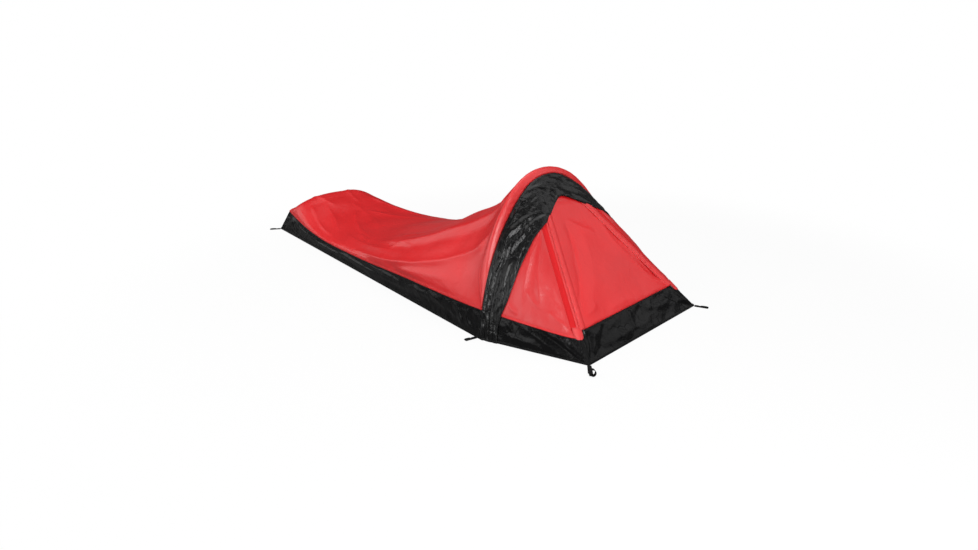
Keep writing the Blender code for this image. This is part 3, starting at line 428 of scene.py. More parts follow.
    def beyond_flap(self, places: Grid) -> Grid:
        """Return how far places beside the head lie out from under the storm flap."""
        y, z = places[..., 1], places[..., 2]
        height = self.ruling(y, z)
        leg = self.on_seam(np.sign(y) * self.seam.half_width_at(height), height)
        leg_z = self.seam.points(401)[:201, 1]
        share = np.interp(height, leg_z, np.linspace(0.0, 1.0, len(leg_z)))
        width = smooth_curve(self.flap_widths, share)
        return np.linalg.norm(places - leg, axis=-1) - width

    def under_flap(self, lift: Grid, places: Grid, rise: float, reach: float) -> Grid:
        """Hold a lift down where cloth beside the head lies under the storm flap."""
        return np.minimum(lift, 0.0007 + rise * smooth_step(self.beyond_flap(places), 0.002, reach))


FORM = Form()


# --------------------------------------------------------------------------- creases


@dataclass(frozen=True)
class Fold:
    """A fold that runs through cloth along a curved line.

    Attributes:
        line: Places that its crest runs through, in shares of the panel's length and width.
        height: How far the crest stands up in metres, or sinks where it is below zero.
        left: How wide the slope to the left of its run is, in metres.
        right: How wide the slope to the right is.
        crest: 1 for a pinched crest, 2 for a rounded one.
        fades: The shares of its run over which it starts and dies away.
    """

    line: tuple
    height: float
    left: float
    right: float
    crest: float = 1.4
    fades: tuple[float, float] = (0.25, 0.35)

    def lift(self, u: Grid, v: Grid, length: float, width: float) -> Grid:
        """Return the fold's height over a panel.

        Args:
            u: Each place's distance down the panel, in metres.
            v: Its distance across.
            length: The panel's length, which the line's first shares are of.
            width: Its width, which the second shares are of.

        Returns:
            The height at each place, in metres.
        """
        path = finer(np.array(self.line, dtype=float), 28) * (length, width)
        best = np.full(u.shape, 1e9)
        offset = np.zeros(u.shape)
        share = np.zeros(u.shape)
        for i, (start, end) in enumerate(zip(path, path[1:])):
            way = end - start
            reach = max(float(np.hypot(*way)), 1e-9)
            du, dv = u - start[0], v - start[1]
            t = np.clip((du * way[0] + dv * way[1]) / reach ** 2, 0.0, 1.0)
            gap = np.hypot(du - t * way[0], dv - t * way[1])
            closer = gap < best
            best = np.where(closer, gap, best)
            turn = np.sign(way[0] * dv - way[1] * du)
            offset = np.where(closer, gap * turn, offset)
            share = np.where(closer, (i + t) / (len(path) - 1), share)
        slope = np.where(offset > 0.0, self.left, self.right)
        shape = np.exp(-np.abs(offset / slope) ** self.crest)
        start, end = self.fades
        fade = smooth_step(share, -0.02, start) * (1.0 - smooth_step(share, 1.0 - end, 1.0))
        return self.height * shape * fade


def folded(u: Grid, v: Grid, length: float, width: float, *folds: Fold) -> Grid:
    """Return the height of several folds over a panel, as each fold's lift gives it."""
    return sum(fold.lift(u, v, length, width) for fold in folds)


@dataclass(frozen=True)
class Crumple:
    """Small random facets that meet in soft creases, as in handled cloth.

    Attributes:
        cell: How wide a facet is across the stretch, in metres.
        stretch: How many times longer it is along the stretch.
        angle: The stretch's direction from the panel's length, in degrees.
        height: How far the facets tilt up over their width, in metres.
        seed: What the facets are drawn from.
        fine: How sharp the creases between them are, from 2 for soft to 9 for sharp.
    """

    cell: float
    stretch: float
    angle: float
    height: float
    seed: int
    fine: float = 4.0

    def lift(self, u: Grid, v: Grid) -> Grid:
        """Return the facets' height at places of a panel in metres."""
        turn = math.radians(self.angle)
        a = (u * math.cos(turn) + v * math.sin(turn)) / (self.cell * self.stretch)
        b = (-u * math.sin(turn) + v * math.cos(turn)) / self.cell
        a = a + 0.45 * drift(u, v, self.cell * 3.0, self.seed + 1)
        b = b + 0.45 * drift(u, v, self.cell * 3.0, self.seed + 2)
        a, b = a - a.min() + 2.0, b - b.min() + 2.0
        count = (int(a.max()) + 4, int(b.max()) + 4, 5)
        seeds = np.random.default_rng(self.seed).random(count) - 0.5
        total, weight = np.zeros(u.shape), np.zeros(u.shape)
        cell_a, cell_b = a.astype(int), b.astype(int)
        for i in (-1, 0, 1):
            for j in (-1, 0, 1):
                spot = seeds[cell_a + i, cell_b + j]
                da = a - (cell_a + i + 0.5 + 0.8 * spot[..., 0])
                db = b - (cell_b + j + 0.5 + 0.8 * spot[..., 1])
                near = np.exp(-self.fine * (da * da + db * db))
                lean = 2.0 * spot[..., 2] * da + 2.0 * spot[..., 3] * db
                total += near * (lean + 0.7 * spot[..., 4])
                weight += near
        return self.height * total / weight


def drift(u: Grid, v: Grid, size: float, seed: int) -> Grid:
    """Return a slow random swell from -1 to 1.

    Args:
        u: Distance down the panel, in metres.
        v: Distance across it.
        size: How far apart its humps lie, in metres.
        seed: What the swell is drawn from.

    Returns:
        The swell at each place.
    """
    a = (u - u.min()) / size + 1.0
    b = (v - v.min()) / size + 1.0
    rng = np.random.default_rng(seed)
    table = rng.uniform(-1.0, 1.0, (int(a.max()) + 3, int(b.max()) + 3))
    i, j = a.astype(int), b.astype(int)
    s, t = smooth_step(a - i, 0.0, 1.0), smooth_step(b - j, 0.0, 1.0)
    top = table[i, j] * (1 - t) + table[i, j + 1] * t
    low = table[i + 1, j] * (1 - t) + table[i + 1, j + 1] * t
    return top * (1 - s) + low * s


# --------------------------------------------------------------------------- cloth


class Held(Enum):
    """How a sheet is held."""

    STRETCHED = "stretched"
    GATHERED = "gathered"
    LAID = "laid"


class Edge(Enum):
    """A sheet's edges: where its grid holds the edge's places and those just inside them."""

    FIRST_ROW = (np.s_[0], np.s_[1])
    LAST_ROW = (np.s_[-1], np.s_[-2])
    FIRST_COLUMN = (np.s_[:, 0], np.s_[:, 1])
    LAST_COLUMN = (np.s_[:, -1], np.s_[:, -2])


@dataclass
class Sheet:
    """A sewn sheet of cloth, kept as a grid of places on its outer face.

    Attributes:
        name: The piece's name.
        grid: The places, with rows down the panel and columns across it.
        outward: A direction that its outer face looks to on the whole.
        thickness: How thick the cloth is drawn.
        u: Each place's distance down the flat cloth.
        v: Its distance across.
        rim_u: Its distance from the nearer end.
        rim_v: Its distance from the nearer side.
        area: The flat cloth's area.
        facing: -1 where the grid's own normals look inwards, and otherwise 1.
    """

    name: str
    grid: Grid
    outward: Sequence[float]
    thickness: float = 0.0007
    u: Grid = field(init=False)
    v: Grid = field(init=False)
    rim_u: Grid = field(init=False)
    rim_v: Grid = field(init=False)
    area: float = field(init=False)
    facing: float = field(init=False)

    def __post_init__(self) -> None:
        """Measure the flat cloth, and see which way the grid faces."""
        looks = np.mean(grid_normals(self.grid) @ np.asarray(self.outward, dtype=float))
        self.facing = -1.0 if looks < 0.0 else 1.0
        down, over = np.diff(self.grid, axis=0), np.diff(self.grid, axis=1)
        self.u = np.pad(np.cumsum(np.linalg.norm(down, axis=-1), axis=0), ((1, 0), (0, 0)))
        self.v = np.pad(np.cumsum(np.linalg.norm(over, axis=-1), axis=1), ((0, 0), (1, 0)))
        self.rim_u = np.minimum(self.u, self.u[-1:] - self.u)
        self.rim_v = np.minimum(self.v, self.v[:, -1:] - self.v)
        self.area = float(np.sum(np.linalg.norm(np.cross(down[:, :-1], over[:-1]), axis=-1)))

    @property
    def normals(self) -> Grid:
        """Return the outward normals."""
        return grid_normals(self.grid) * self.facing

    def inside(self, ends: float, sides: float) -> Grid:
        """Return a share that falls to nothing at the sewn edges."""
        return smooth_step(self.rim_u, 0.0, ends) * smooth_step(self.rim_v, 0.0, sides)

    def raise_by(self, height: Grid) -> None:
        """Move the cloth off its surface by a height at each place."""
        self.grid = self.grid + self.normals * height[..., None]

    def edge(self, which: Edge) -> tuple[Grid, Grid, Grid]:
        """Return an edge's places, the directions into the cloth there and the outward normals."""
        rim, inner = which.value
        return self.grid[rim], unit(self.grid[inner] - self.grid[rim]), self.normals[rim]

    def build(self, material: bpy.types.Material) -> bpy.types.Object:
        """Make the sheet's mesh, with its cloth and rim maps and its thickness inside.

        Args:
            material: The cloth's material.

        Returns:
            The new piece.
        """
        rows, columns = self.grid.shape[:2]
        index = np.arange(rows * columns).reshape(rows, columns)
        faces = np.stack([index[:-1, :-1], index[1:, :-1], index[1:, 1:], index[:-1, 1:]], axis=-1)
        if self.facing < 0.0:
            faces = faces[..., ::-1]
        mesh = bpy.data.meshes.new(self.name)
        mesh.from_pydata(self.grid.reshape(-1, 3).tolist(), [], faces.reshape(-1, 4).tolist())
        loops = np.zeros(len(mesh.loops), dtype=int)
        mesh.loops.foreach_get("vertex_index", loops)
        for title, a, b in (("cloth", self.u, self.v), ("rim", self.rim_u, self.rim_v)):
            flat = np.stack([a.ravel()[loops], b.ravel()[loops]], axis=-1)
            mesh.uv_layers.new(name=title).data.foreach_set("uv", flat.ravel())
        mesh.shade_smooth()
        mesh.materials.append(material)
        piece = bpy.data.objects.new(self.name, mesh)
        bpy.context.collection.objects.link(piece)
        solidify = piece.modifiers.new("Thickness", "SOLIDIFY")
        solidify.thickness = self.thickness
        solidify.offset = -1.0
        return piece

    def sew(self, finish: "Finish", body: str, slot: str, *, held: Held | None = Held.STRETCHED,
            rests_on: Sequence[str] = (), nodes: Sequence[str] = (), folds: bool = True) -> None:
        """Args:
            finish: The cloth's finish.
            body: The body that carries it.
            slot: The record's material slot; not used.
            held: How it is held, or None for tape; not used.
            rests_on: The frame's nodes that hold it up; not used.
            nodes: The frame's nodes that it stands for.
            folds: Whether it gets a mesh of its own.
        """
        piece = self.build(material_of(finish))
        settle(piece, body, nodes=nodes, folds=folds)


def resampled(grid: Grid, rows: int, columns: int) -> Grid:
    """Resample a grid of places smoothly both ways."""
    return np.swapaxes(finer(np.swapaxes(finer(grid, rows), 0, 1), columns), 0, 1)


def settle(piece: bpy.types.Object, body: str, *, nodes: Sequence[str] = (),
           folds: bool = True) -> None:
    """Hang a finished piece on its body, and give it a mesh of its own where asked.

    Args:
        piece: The piece.
        body: The body that carries it.
        nodes: The frame's nodes that it stands for.
        folds: Whether it gets a mesh of its own.
    """
    if nodes:
        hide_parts(*nodes)
    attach(piece, body)
    if folds:
        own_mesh(piece)
    LOG.info("%s: %d faces on %s", piece.name, len(piece.data.polygons), body)




def matched(values: Grid, count: int) -> Grid:
    """Resample an edge's places or directions to another count."""
    at, known = np.linspace(0.0, len(values) - 1.0, count), np.arange(len(values))
    return np.stack([np.interp(at, known, column) for column in values.T], axis=-1)


def smoothed(values: Grid, reach: int = 4) -> Grid:
    """Even out an edge's directions along its run."""
    padded = np.concatenate([np.repeat(values[:1], reach, axis=0), values,
                             np.repeat(values[-1:], reach, axis=0)])
    total = sum(padded[i:i + len(values)] for i in range(2 * reach + 1))
    return unit(total)


# --------------------------------------------------------------------------- finishes


class Wiring:
    """Adds and joins the nodes of one material or node group."""

    def __init__(self, tree: bpy.types.NodeTree) -> None:
        """Start on a tree."""
        self.tree = tree
        self.count = 0

    def feed(self, socket: bpy.types.NodeSocket, value: object) -> None:
        """Set a socket to a value, or join another socket to it."""
        if isinstance(value, bpy.types.NodeSocket):
            self.tree.links.new(value, socket)
        elif socket.type == "RGBA":
            socket.default_value = (*value[:3], 1.0)
        else:
            socket.default_value = value

    def add(self, kind: str, feeds: dict[int | str, object] | None = None,
            **settings: object) -> bpy.types.Node:
        """Add a node.

        Args:
            kind: The node's type.
            feeds: What its sockets are fed.
            **settings: Its properties, which are set first.

        Returns:
            The node.
        """
        node = self.tree.nodes.new(kind)
        node.location = (-1400 + 180 * (self.count % 8), 500 - 220 * (self.count // 8))
        self.count += 1
        for key, value in settings.items():
            setattr(node, key, value)
        for key, value in (feeds or {}).items():
            self.feed(node.inputs[key], value)
        return node

    def maths(self, operation: str, a: object, b: object = 0.0) -> bpy.types.NodeSocket:
        """Return the result of a Math node."""
        return self.add("ShaderNodeMath", {0: a, 1: b}, operation=operation).outputs[0]

    def times(self, a: object, b: object) -> bpy.types.NodeSocket:
        """Return a product."""
        return self.maths("MULTIPLY", a, b)

    def plus(self, a: object, b: object) -> bpy.types.NodeSocket:
        """Return a sum."""
        return self.maths("ADD", a, b)

    def apart(self, a: object, b: object) -> bpy.types.NodeSocket:
        """Return how far apart two values are."""
        return self.maths("ABSOLUTE", self.maths("SUBTRACT", a, b))

    def highest(self, *values: object) -> bpy.types.NodeSocket:
        """Return the highest of two or more values."""
        return reduce(lambda a, b: self.maths("MAXIMUM", a, b), values)

    def vectors(self, operation: str, a: object, b: object) -> Sequence[bpy.types.NodeSocket]:
        """Return the outputs of a Vector Math node."""
        return self.add("ShaderNodeVectorMath", {0: a, 1: b}, operation=operation).outputs

    def spread(self, value: object, low: float, high: float, to_low: object = 0.0,
               to_high: object = 1.0) -> bpy.types.NodeSocket:
        """Return a value mapped smoothly from one range to another."""
        feeds = dict(enumerate((value, low, high, to_low, to_high)))
        return self.add("ShaderNodeMapRange", feeds, interpolation_type="SMOOTHSTEP").outputs[0]

    def blend(self, share: object, a: object, b: object) -> bpy.types.NodeSocket:
        """Return two colours mixed by a share."""
        return self.add("ShaderNodeMix", {0: share, 6: a, 7: b}, data_type="RGBA").outputs[2]

    def place(self) -> bpy.types.NodeSocket:
        """Return places in the object's own space."""
        return self.add("ShaderNodeTexCoord").outputs["Object"]

    def split(self, vector: object) -> Sequence[bpy.types.NodeSocket]:
        """Return a vector's three parts."""
        return self.add("ShaderNodeSeparateXYZ", {0: vector}).outputs

    def chart(self, name: str) -> Sequence[bpy.types.NodeSocket]:
        """Return the two parts of one of the piece's own maps."""
        return self.split(self.add("ShaderNodeUVMap", uv_map=name).outputs[0])[:2]

    def group(self, tree: bpy.types.NodeTree, **feeds: object) -> Sequence[bpy.types.NodeSocket]:
        """Place a shared group and return its outputs."""
        return self.add("ShaderNodeGroup", feeds, node_tree=tree).outputs

    def noise(self, place: object, scale: float, detail: float,
              stretch: Sequence[float] = (1.0, 1.0, 1.0)) -> bpy.types.NodeSocket:
        """Return noise read at a place."""
        mapped = self.add("ShaderNodeMapping", {"Vector": place, "Scale": stretch}).outputs[0]
        feeds = {"Vector": mapped, "Scale": scale, "Detail": detail}
        return self.add("ShaderNodeTexNoise", feeds).outputs["Fac"]

    def dress(self, shader: bpy.types.Node, colour: object, rough: object, relief: object) -> None:
        """Feed a shader its colour, its roughness and the height of its relief in metres."""
        bump = self.add("ShaderNodeBump", {"Strength": 1.0, "Distance": 1.0, "Height": relief})
        for title, value in (("Base Color", colour), ("Roughness", rough),
                             ("Normal", bump.outputs["Normal"])):
            self.feed(shader.inputs[title], value)


def new_group(name: str, inputs: dict[str, float | None], outputs: Sequence[str]) -> tuple:
    """Start a shader node group.

    Args:
        name: The group's name.
        inputs: Each input with the value of a number, or None for a vector.
        outputs: The names of its outputs, all numbers.

    Returns:
        The group, its wiring, the sockets that it is given and the sockets that it puts out.
    """
    group = bpy.data.node_groups.new(name, "ShaderNodeTree")
    for title, value in inputs.items():
        kind = "NodeSocketVector" if value is None else "NodeSocketFloat"
        socket = group.interface.new_socket(title, in_out="INPUT", socket_type=kind)
        if value is not None:
            socket.default_value = value
    for title in outputs:
        group.interface.new_socket(title, in_out="OUTPUT", socket_type="NodeSocketFloat")
    w = Wiring(group)
    return group, w, w.add("NodeGroupInput").outputs, w.add("NodeGroupOutput").inputs


@cache
def plain_weave() -> bpy.types.NodeTree:
    """Make the group for woven cloth: the threads' height, and the mask of the strong grid."""
    group, w, given, out = new_group("plain_weave", {"Map": None, "Thread": 0.0006, "Grid": 0.0055},
                                     ("Threads", "Strong"))
    waves, lines = [], []
    for socket in w.split(given["Map"])[:2]:
        turns = w.maths("DIVIDE", socket, given["Thread"])
        waves.append(w.maths("SINE", w.times(turns, math.tau)))
        cell = w.maths("FRACT", w.maths("DIVIDE", socket, given["Grid"]))
        lines.append(w.spread(w.apart(cell, 0.5), 0.43, 0.49))
    w.feed(out["Threads"], w.times(*waves))
    w.feed(out["Strong"], w.highest(*lines))
    return group


@cache
def stitch_row() -> bpy.types.NodeTree:
    """Make the group for a row of stitches: its thread's mask, and the dent that it pulls."""
    sizes = {"Run": 0.0, "Rim": 0.0, "Inset": 0.004, "Length": 0.0032}
    group, w, given, out = new_group("stitch_row", sizes, ("Thread", "Dent"))
    off = w.apart(given["Rim"], given["Inset"])
    line = w.spread(off, 0.00025, 0.0005, 1.0, 0.0)
    step = w.maths("FRACT", w.maths("DIVIDE", given["Run"], given["Length"]))
    dash = w.spread(w.apart(step, 0.5), 0.30, 0.38, 1.0, 0.0)
    w.feed(out["Thread"], w.times(line, dash))
    w.feed(out["Dent"], w.spread(off, 0.0003, 0.0022, 1.0, 0.0))
    return group


@cache
def handling() -> bpy.types.NodeTree:
    """Make the group for small soft facets and rubbed places, read in the object's own space.

    Returns:
        The group, which puts out the facets' height for a tilt of one and a slow patchiness.
    """
    group, w, given, out = new_group("handling", {"Place": None, "Scale": 22.0},
                                     ("Creases", "Patches"))
    heights = []
    for finer_by, share in ((1.0, 1.0), (2.3, 0.8)):
        scale = w.times(given["Scale"], finer_by)
        feeds = {"Vector": given["Place"], "Scale": scale, "Smoothness": 0.30}
        cells = w.add("ShaderNodeTexVoronoi", feeds, feature="SMOOTH_F1").outputs
        off = w.vectors("SUBTRACT", given["Place"], cells["Position"])[0]
        lean = w.vectors("SUBTRACT", cells["Color"], (0.5, 0.5, 0.5))[0]
        heights.append(w.times(w.vectors("DOT_PRODUCT", off, lean)["Value"], share))
    w.feed(out["Creases"], w.plus(*heights))
    feeds = {"Vector": given["Place"], "Scale": 3.2, "Detail": 4.0}
    w.feed(out["Patches"], w.add("ShaderNodeTexNoise", feeds).outputs["Fac"])
    return group


def new_material(name: str) -> tuple[bpy.types.Material, Wiring, bpy.types.Node]:
    """Start a material, and return it with its wiring and its Principled shader."""
    material = bpy.data.materials.new(name)
    material.use_nodes = True
    return material, Wiring(material.node_tree), material.node_tree.nodes["Principled BSDF"]


@dataclass(frozen=True)
class Cloth:
    """Woven nylon, coated on its back, with its seams stitched.

    Attributes:
        colour: The cloth's colour.
        deep: The colour where it is rubbed less or lies double.
        thread: The sewing thread's colour.
        rough: The lowest and highest roughness.
        grid: How far apart the strong threads lie, in metres.
        grid_tone: How much lighter they look.
        crease: How far the small facets tilt, as a slope.
        crease_scale: How many facets lie in a metre.
        hem: How wide the double cloth at its end edges and at its side edges is, in metres.
        gloss: The specular level.
        hem_matt: How much rougher double cloth is.
        rim_rows: Whether its end edges and its side edges are hemmed.
        stitch_in: How far the stitches lie from the rim, and from the hem's inner end.
    """

    colour: Colour
    deep: Colour
    thread: Colour
    rough: tuple[float, float]
    grid: float = 0.0055
    grid_tone: float = 0.10
    crease: float = 0.10
    crease_scale: float = 24.0
    hem: tuple[float, float] = (0.011, 0.011)
    gloss: float = 0.5
    hem_matt: float = 0.06
    rim_rows: tuple[bool, bool] = (True, True)
    stitch_in: tuple[float, float] = (0.0022, 0.0015)

    def make(self, name: str) -> bpy.types.Material:
        """Make the material.

        Args:
            name: The material's name.

        Returns:
            The material.
        """
        material, w, shader = new_material(name)
        flat = w.add("ShaderNodeUVMap", uv_map="cloth").outputs[0]
        weave = w.group(plain_weave(), Map=flat, Grid=self.grid)
        worn = w.group(handling(), Place=w.place(), Scale=self.crease_scale)
        run, edge = w.split(flat), w.chart("rim")
        threads, dents, doubles = [], [], []
        for axis, hem in enumerate(self.hem):
            if self.rim_rows[axis]:
                for inset in (self.stitch_in[0], hem - self.stitch_in[1]):
                    row = w.group(stitch_row(), Run=run[1 - axis], Rim=edge[axis], Inset=inset)
                    threads.append(row["Thread"])
                    dents.append(row["Dent"])
                doubles.append(w.spread(edge[axis], hem * 0.8, hem * 1.1, 1.0, 0.0))
        stitched, dented, doubled = (w.highest(*masks) for masks in (threads, dents, doubles))
        tone = w.blend(w.spread(worn["Patches"], 0.35, 0.65), self.deep, self.colour)
        lighter = tuple(min(1.0, part * 1.35 + 0.02) for part in self.colour)
        for share, colour in ((w.times(weave["Strong"], self.grid_tone), lighter),
                              (w.times(doubled, 0.35), self.deep), (stitched, self.thread)):
            tone = w.blend(share, tone, colour)
        rough = w.plus(w.spread(worn["Patches"], 0.3, 0.7, *self.rough),
                       w.times(w.highest(stitched, doubled), self.hem_matt))
        relief = w.times(worn["Creases"], self.crease)
        for height, depth in ((weave["Strong"], 0.00006), (weave["Threads"], 0.000012),
                              (doubled, 0.0003), (dented, -0.0002), (stitched, 0.0003)):
            relief = w.plus(relief, w.times(height, depth))
        w.dress(shader, tone, rough, relief)
        shader.inputs["Specular IOR Level"].default_value = self.gloss
        return material


@dataclass(frozen=True)
class Tape:
    """Woven tape with ribs across it, a plain selvedge and bar tacks at its ends.

    Attributes:
        colour: The tape's colour.
        worn: The colour of the ribs' tops.
        width: The tape's width, in metres.
        rib: How far apart the ribs lie.
        twill: How far apart the lines across the ribs lie.
    """

    colour: Colour
    worn: Colour
    width: float
    rib: float = 0.0011
    twill: float = 0.0021

    def make(self, name: str) -> bpy.types.Material:
        """Make the material, which reads the piece's cloth map: run along the tape, then across."""
        material, w, shader = new_material(name)
        run, across = w.chart("cloth")
        ribs, twill = (w.maths("SINE", w.times(socket, math.tau / pitch))
                       for socket, pitch in ((run, self.rib), (across, self.twill)))
        weave = w.times(w.plus(ribs, w.times(twill, 0.4)), 0.5)
        selvedge = w.spread(w.apart(across, self.width / 2), self.width * 0.43, self.width * 0.47)
        fuzz = w.noise(w.place(), 260.0, 2.0)
        rubbed = w.spread(w.plus(weave, w.times(fuzz, 0.6)), -0.2, 1.0)
        tone = w.blend(rubbed, self.colour, self.worn)
        w.dress(shader, w.blend(w.times(selvedge, 0.6), tone, self.colour),
                w.spread(fuzz, 0.3, 0.7, 0.62, 0.82), w.times(weave, 0.00012))
        shader.inputs["Specular IOR Level"].default_value = 0.2
        return material


@dataclass(frozen=True)
class Metal:
    """Drawn or enamelled metal with fine scratches and edges rubbed bare.

    Attributes:
        colour: The finish.
        bare: The metal under it.
        rough: The lowest and highest roughness.
        metallic: How metallic the finish is.
        wear: How much of it is rubbed, from 0 to 1.
    """

    colour: Colour
    bare: Colour
    rough: tuple[float, float]
    metallic: float = 1.0
    wear: float = 0.3

    def make(self, name: str) -> bpy.types.Material:
        """Make the material."""
        material, w, shader = new_material(name)
        place = w.place()
        scratches = w.noise(place, 420.0, 2.0, (1.0, 0.12, 1.0))
        rubbed = w.times(w.spread(w.noise(place, 38.0, 4.0), 0.56, 0.70), self.wear)
        w.dress(shader, w.blend(rubbed, self.colour, self.bare),
                w.spread(scratches, 0.3, 0.7, *self.rough), w.times(scratches, 0.00002))
        if self.metallic < 1.0:
            w.feed(shader.inputs["Metallic"], w.highest(rubbed, self.metallic))
        else:
            shader.inputs["Metallic"].default_value = 1.0
        return material


@dataclass(frozen=True)
class Moulded:
    """Moulded plastic or rubberised cord with a fine even grain.

    Attributes:
        colour: Its colour.
        rough: The lowest and highest roughness.
        grain: How many grains lie in a metre.
        depth: How deep the grain is, in metres.
    """

    colour: Colour
    rough: tuple[float, float]
    grain: float = 900.0
    depth: float = 0.00003

    def make(self, name: str) -> bpy.types.Material:
        """Make the material."""
        material, w, shader = new_material(name)
        place = w.place()
        clouds = w.noise(place, 30.0, 3.0)
        lighter = tuple(part * 1.6 + 0.004 for part in self.colour)
        w.dress(shader, w.blend(w.spread(clouds, 0.4, 0.7), self.colour, lighter),
                w.spread(clouds, 0.3, 0.7, *self.rough),
                w.times(w.noise(place, self.grain, 2.0), self.depth))
        return material


RED: Colour = (0.75, 0.0145, 0.0175)
DEEP_RED: Colour = (0.68, 0.0100, 0.0125)
# Doubled cloth's red, made darker still as painted shade for the band along the ridges.
DOUBLED_SHADED_RED: Colour = (0.64, 0.0135, 0.0165)
RED_THREAD: Colour = (0.58, 0.012, 0.014)
BLACK: Colour = (0.0032, 0.0032, 0.0034)
SOFT_BLACK: Colour = (0.0048, 0.0048, 0.0050)
BLACK_THREAD: Colour = (0.014, 0.014, 0.015)
RED_CLOTH = (RED, DEEP_RED, RED_THREAD)
BLACK_CLOTH = (BLACK, SOFT_BLACK, BLACK_THREAD)
BRIGHT_METAL: Colour = (0.72, 0.72, 0.74)
NARROW_HEM = (0.0036, 0.0036)
SIDES_ONLY = (False, True)


class Finish(Enum):
    """The finishes, by what they are on."""

    CANOPY = Cloth(*RED_CLOTH, (0.33, 0.42), crease=0.015, gloss=0.60)
    # The gussets are the canopy's cloth; their darker red is painted shade, a shaded copy of the
    # canopy's red.
    GUSSET = Cloth((0.66, 0.0130, 0.0160), (0.60, 0.0090, 0.0115), RED_THREAD, (0.34, 0.44),
                   crease=0.015, gloss=0.74)
    # The strips along the ridges: their darker red is partly doubled cloth and partly painted
    # shade.
    FACING = Cloth(DOUBLED_SHADED_RED, DOUBLED_SHADED_RED, RED_THREAD, (0.50, 0.60), crease=0.02, gloss=0.12,
                   hem=(0.004, 0.004))
    PIPING = Cloth(*RED_CLOTH, (0.30, 0.40), crease=0.02, hem=NARROW_HEM, gloss=0.95,
                   rim_rows=SIDES_ONLY)
    SLEEVE = Cloth(*RED_CLOTH, (0.38, 0.48), crease=0.03, crease_scale=44.0, hem=(0.006, 0.006),
                   gloss=0.85)
    SEAM = Cloth(*RED_CLOTH, (0.40, 0.50), crease=0.02, hem=NARROW_HEM, gloss=0.6,
                 rim_rows=SIDES_ONLY)
    TUB = Cloth(*BLACK_CLOTH, (0.13, 0.24), grid_tone=0.04, crease=0.05, crease_scale=30.0,
                gloss=0.15)
    GROUND = Cloth(*BLACK_CLOTH, (0.36, 0.50), grid_tone=0.04, crease_scale=12.0, gloss=0.2)
    FLAP = Cloth(*BLACK_CLOTH, (0.20, 0.30), grid_tone=0.05, crease=0.07, crease_scale=36.0,
                 hem=(0.009, 0.009), gloss=0.30)
    BINDING = Cloth(*BLACK_CLOTH, (0.45, 0.6), grid=0.0022, crease=0.02, hem=NARROW_HEM, gloss=0.15,
                    rim_rows=SIDES_ONLY)
    WEBBING = Tape(BLACK, (0.009, 0.009, 0.0095), 0.015)
    ZIP_TAPE = Tape((0.020, 0.019, 0.020), (0.05, 0.048, 0.05), 0.012, 0.0007)
    TUBE = Metal((0.16, 0.165, 0.175), BRIGHT_METAL, (0.24, 0.40))
    FERRULE = Metal(BRIGHT_METAL, (0.80, 0.80, 0.81), (0.20, 0.36), wear=0.1)
    ENAMEL = Metal((0.030, 0.030, 0.032), (0.55, 0.54, 0.52), (0.22, 0.36), metallic=0.2, wear=0.5)
    COIL = Moulded((0.020, 0.020, 0.021), (0.30, 0.42))
    TIP = Moulded((0.016, 0.016, 0.017), (0.38, 0.52))
    ELASTIC = Moulded((0.30, 0.31, 0.32), (0.75, 0.88), grain=1600.0, depth=0.00012)


@cache
def material_of(finish: Finish) -> bpy.types.Material:
    """Return the material of a finish, made the first time it is asked for."""
    return finish.value.make(f"{finish.name.lower()}_finish")


# --------------------------------------------------------------------------- sub-assemblies


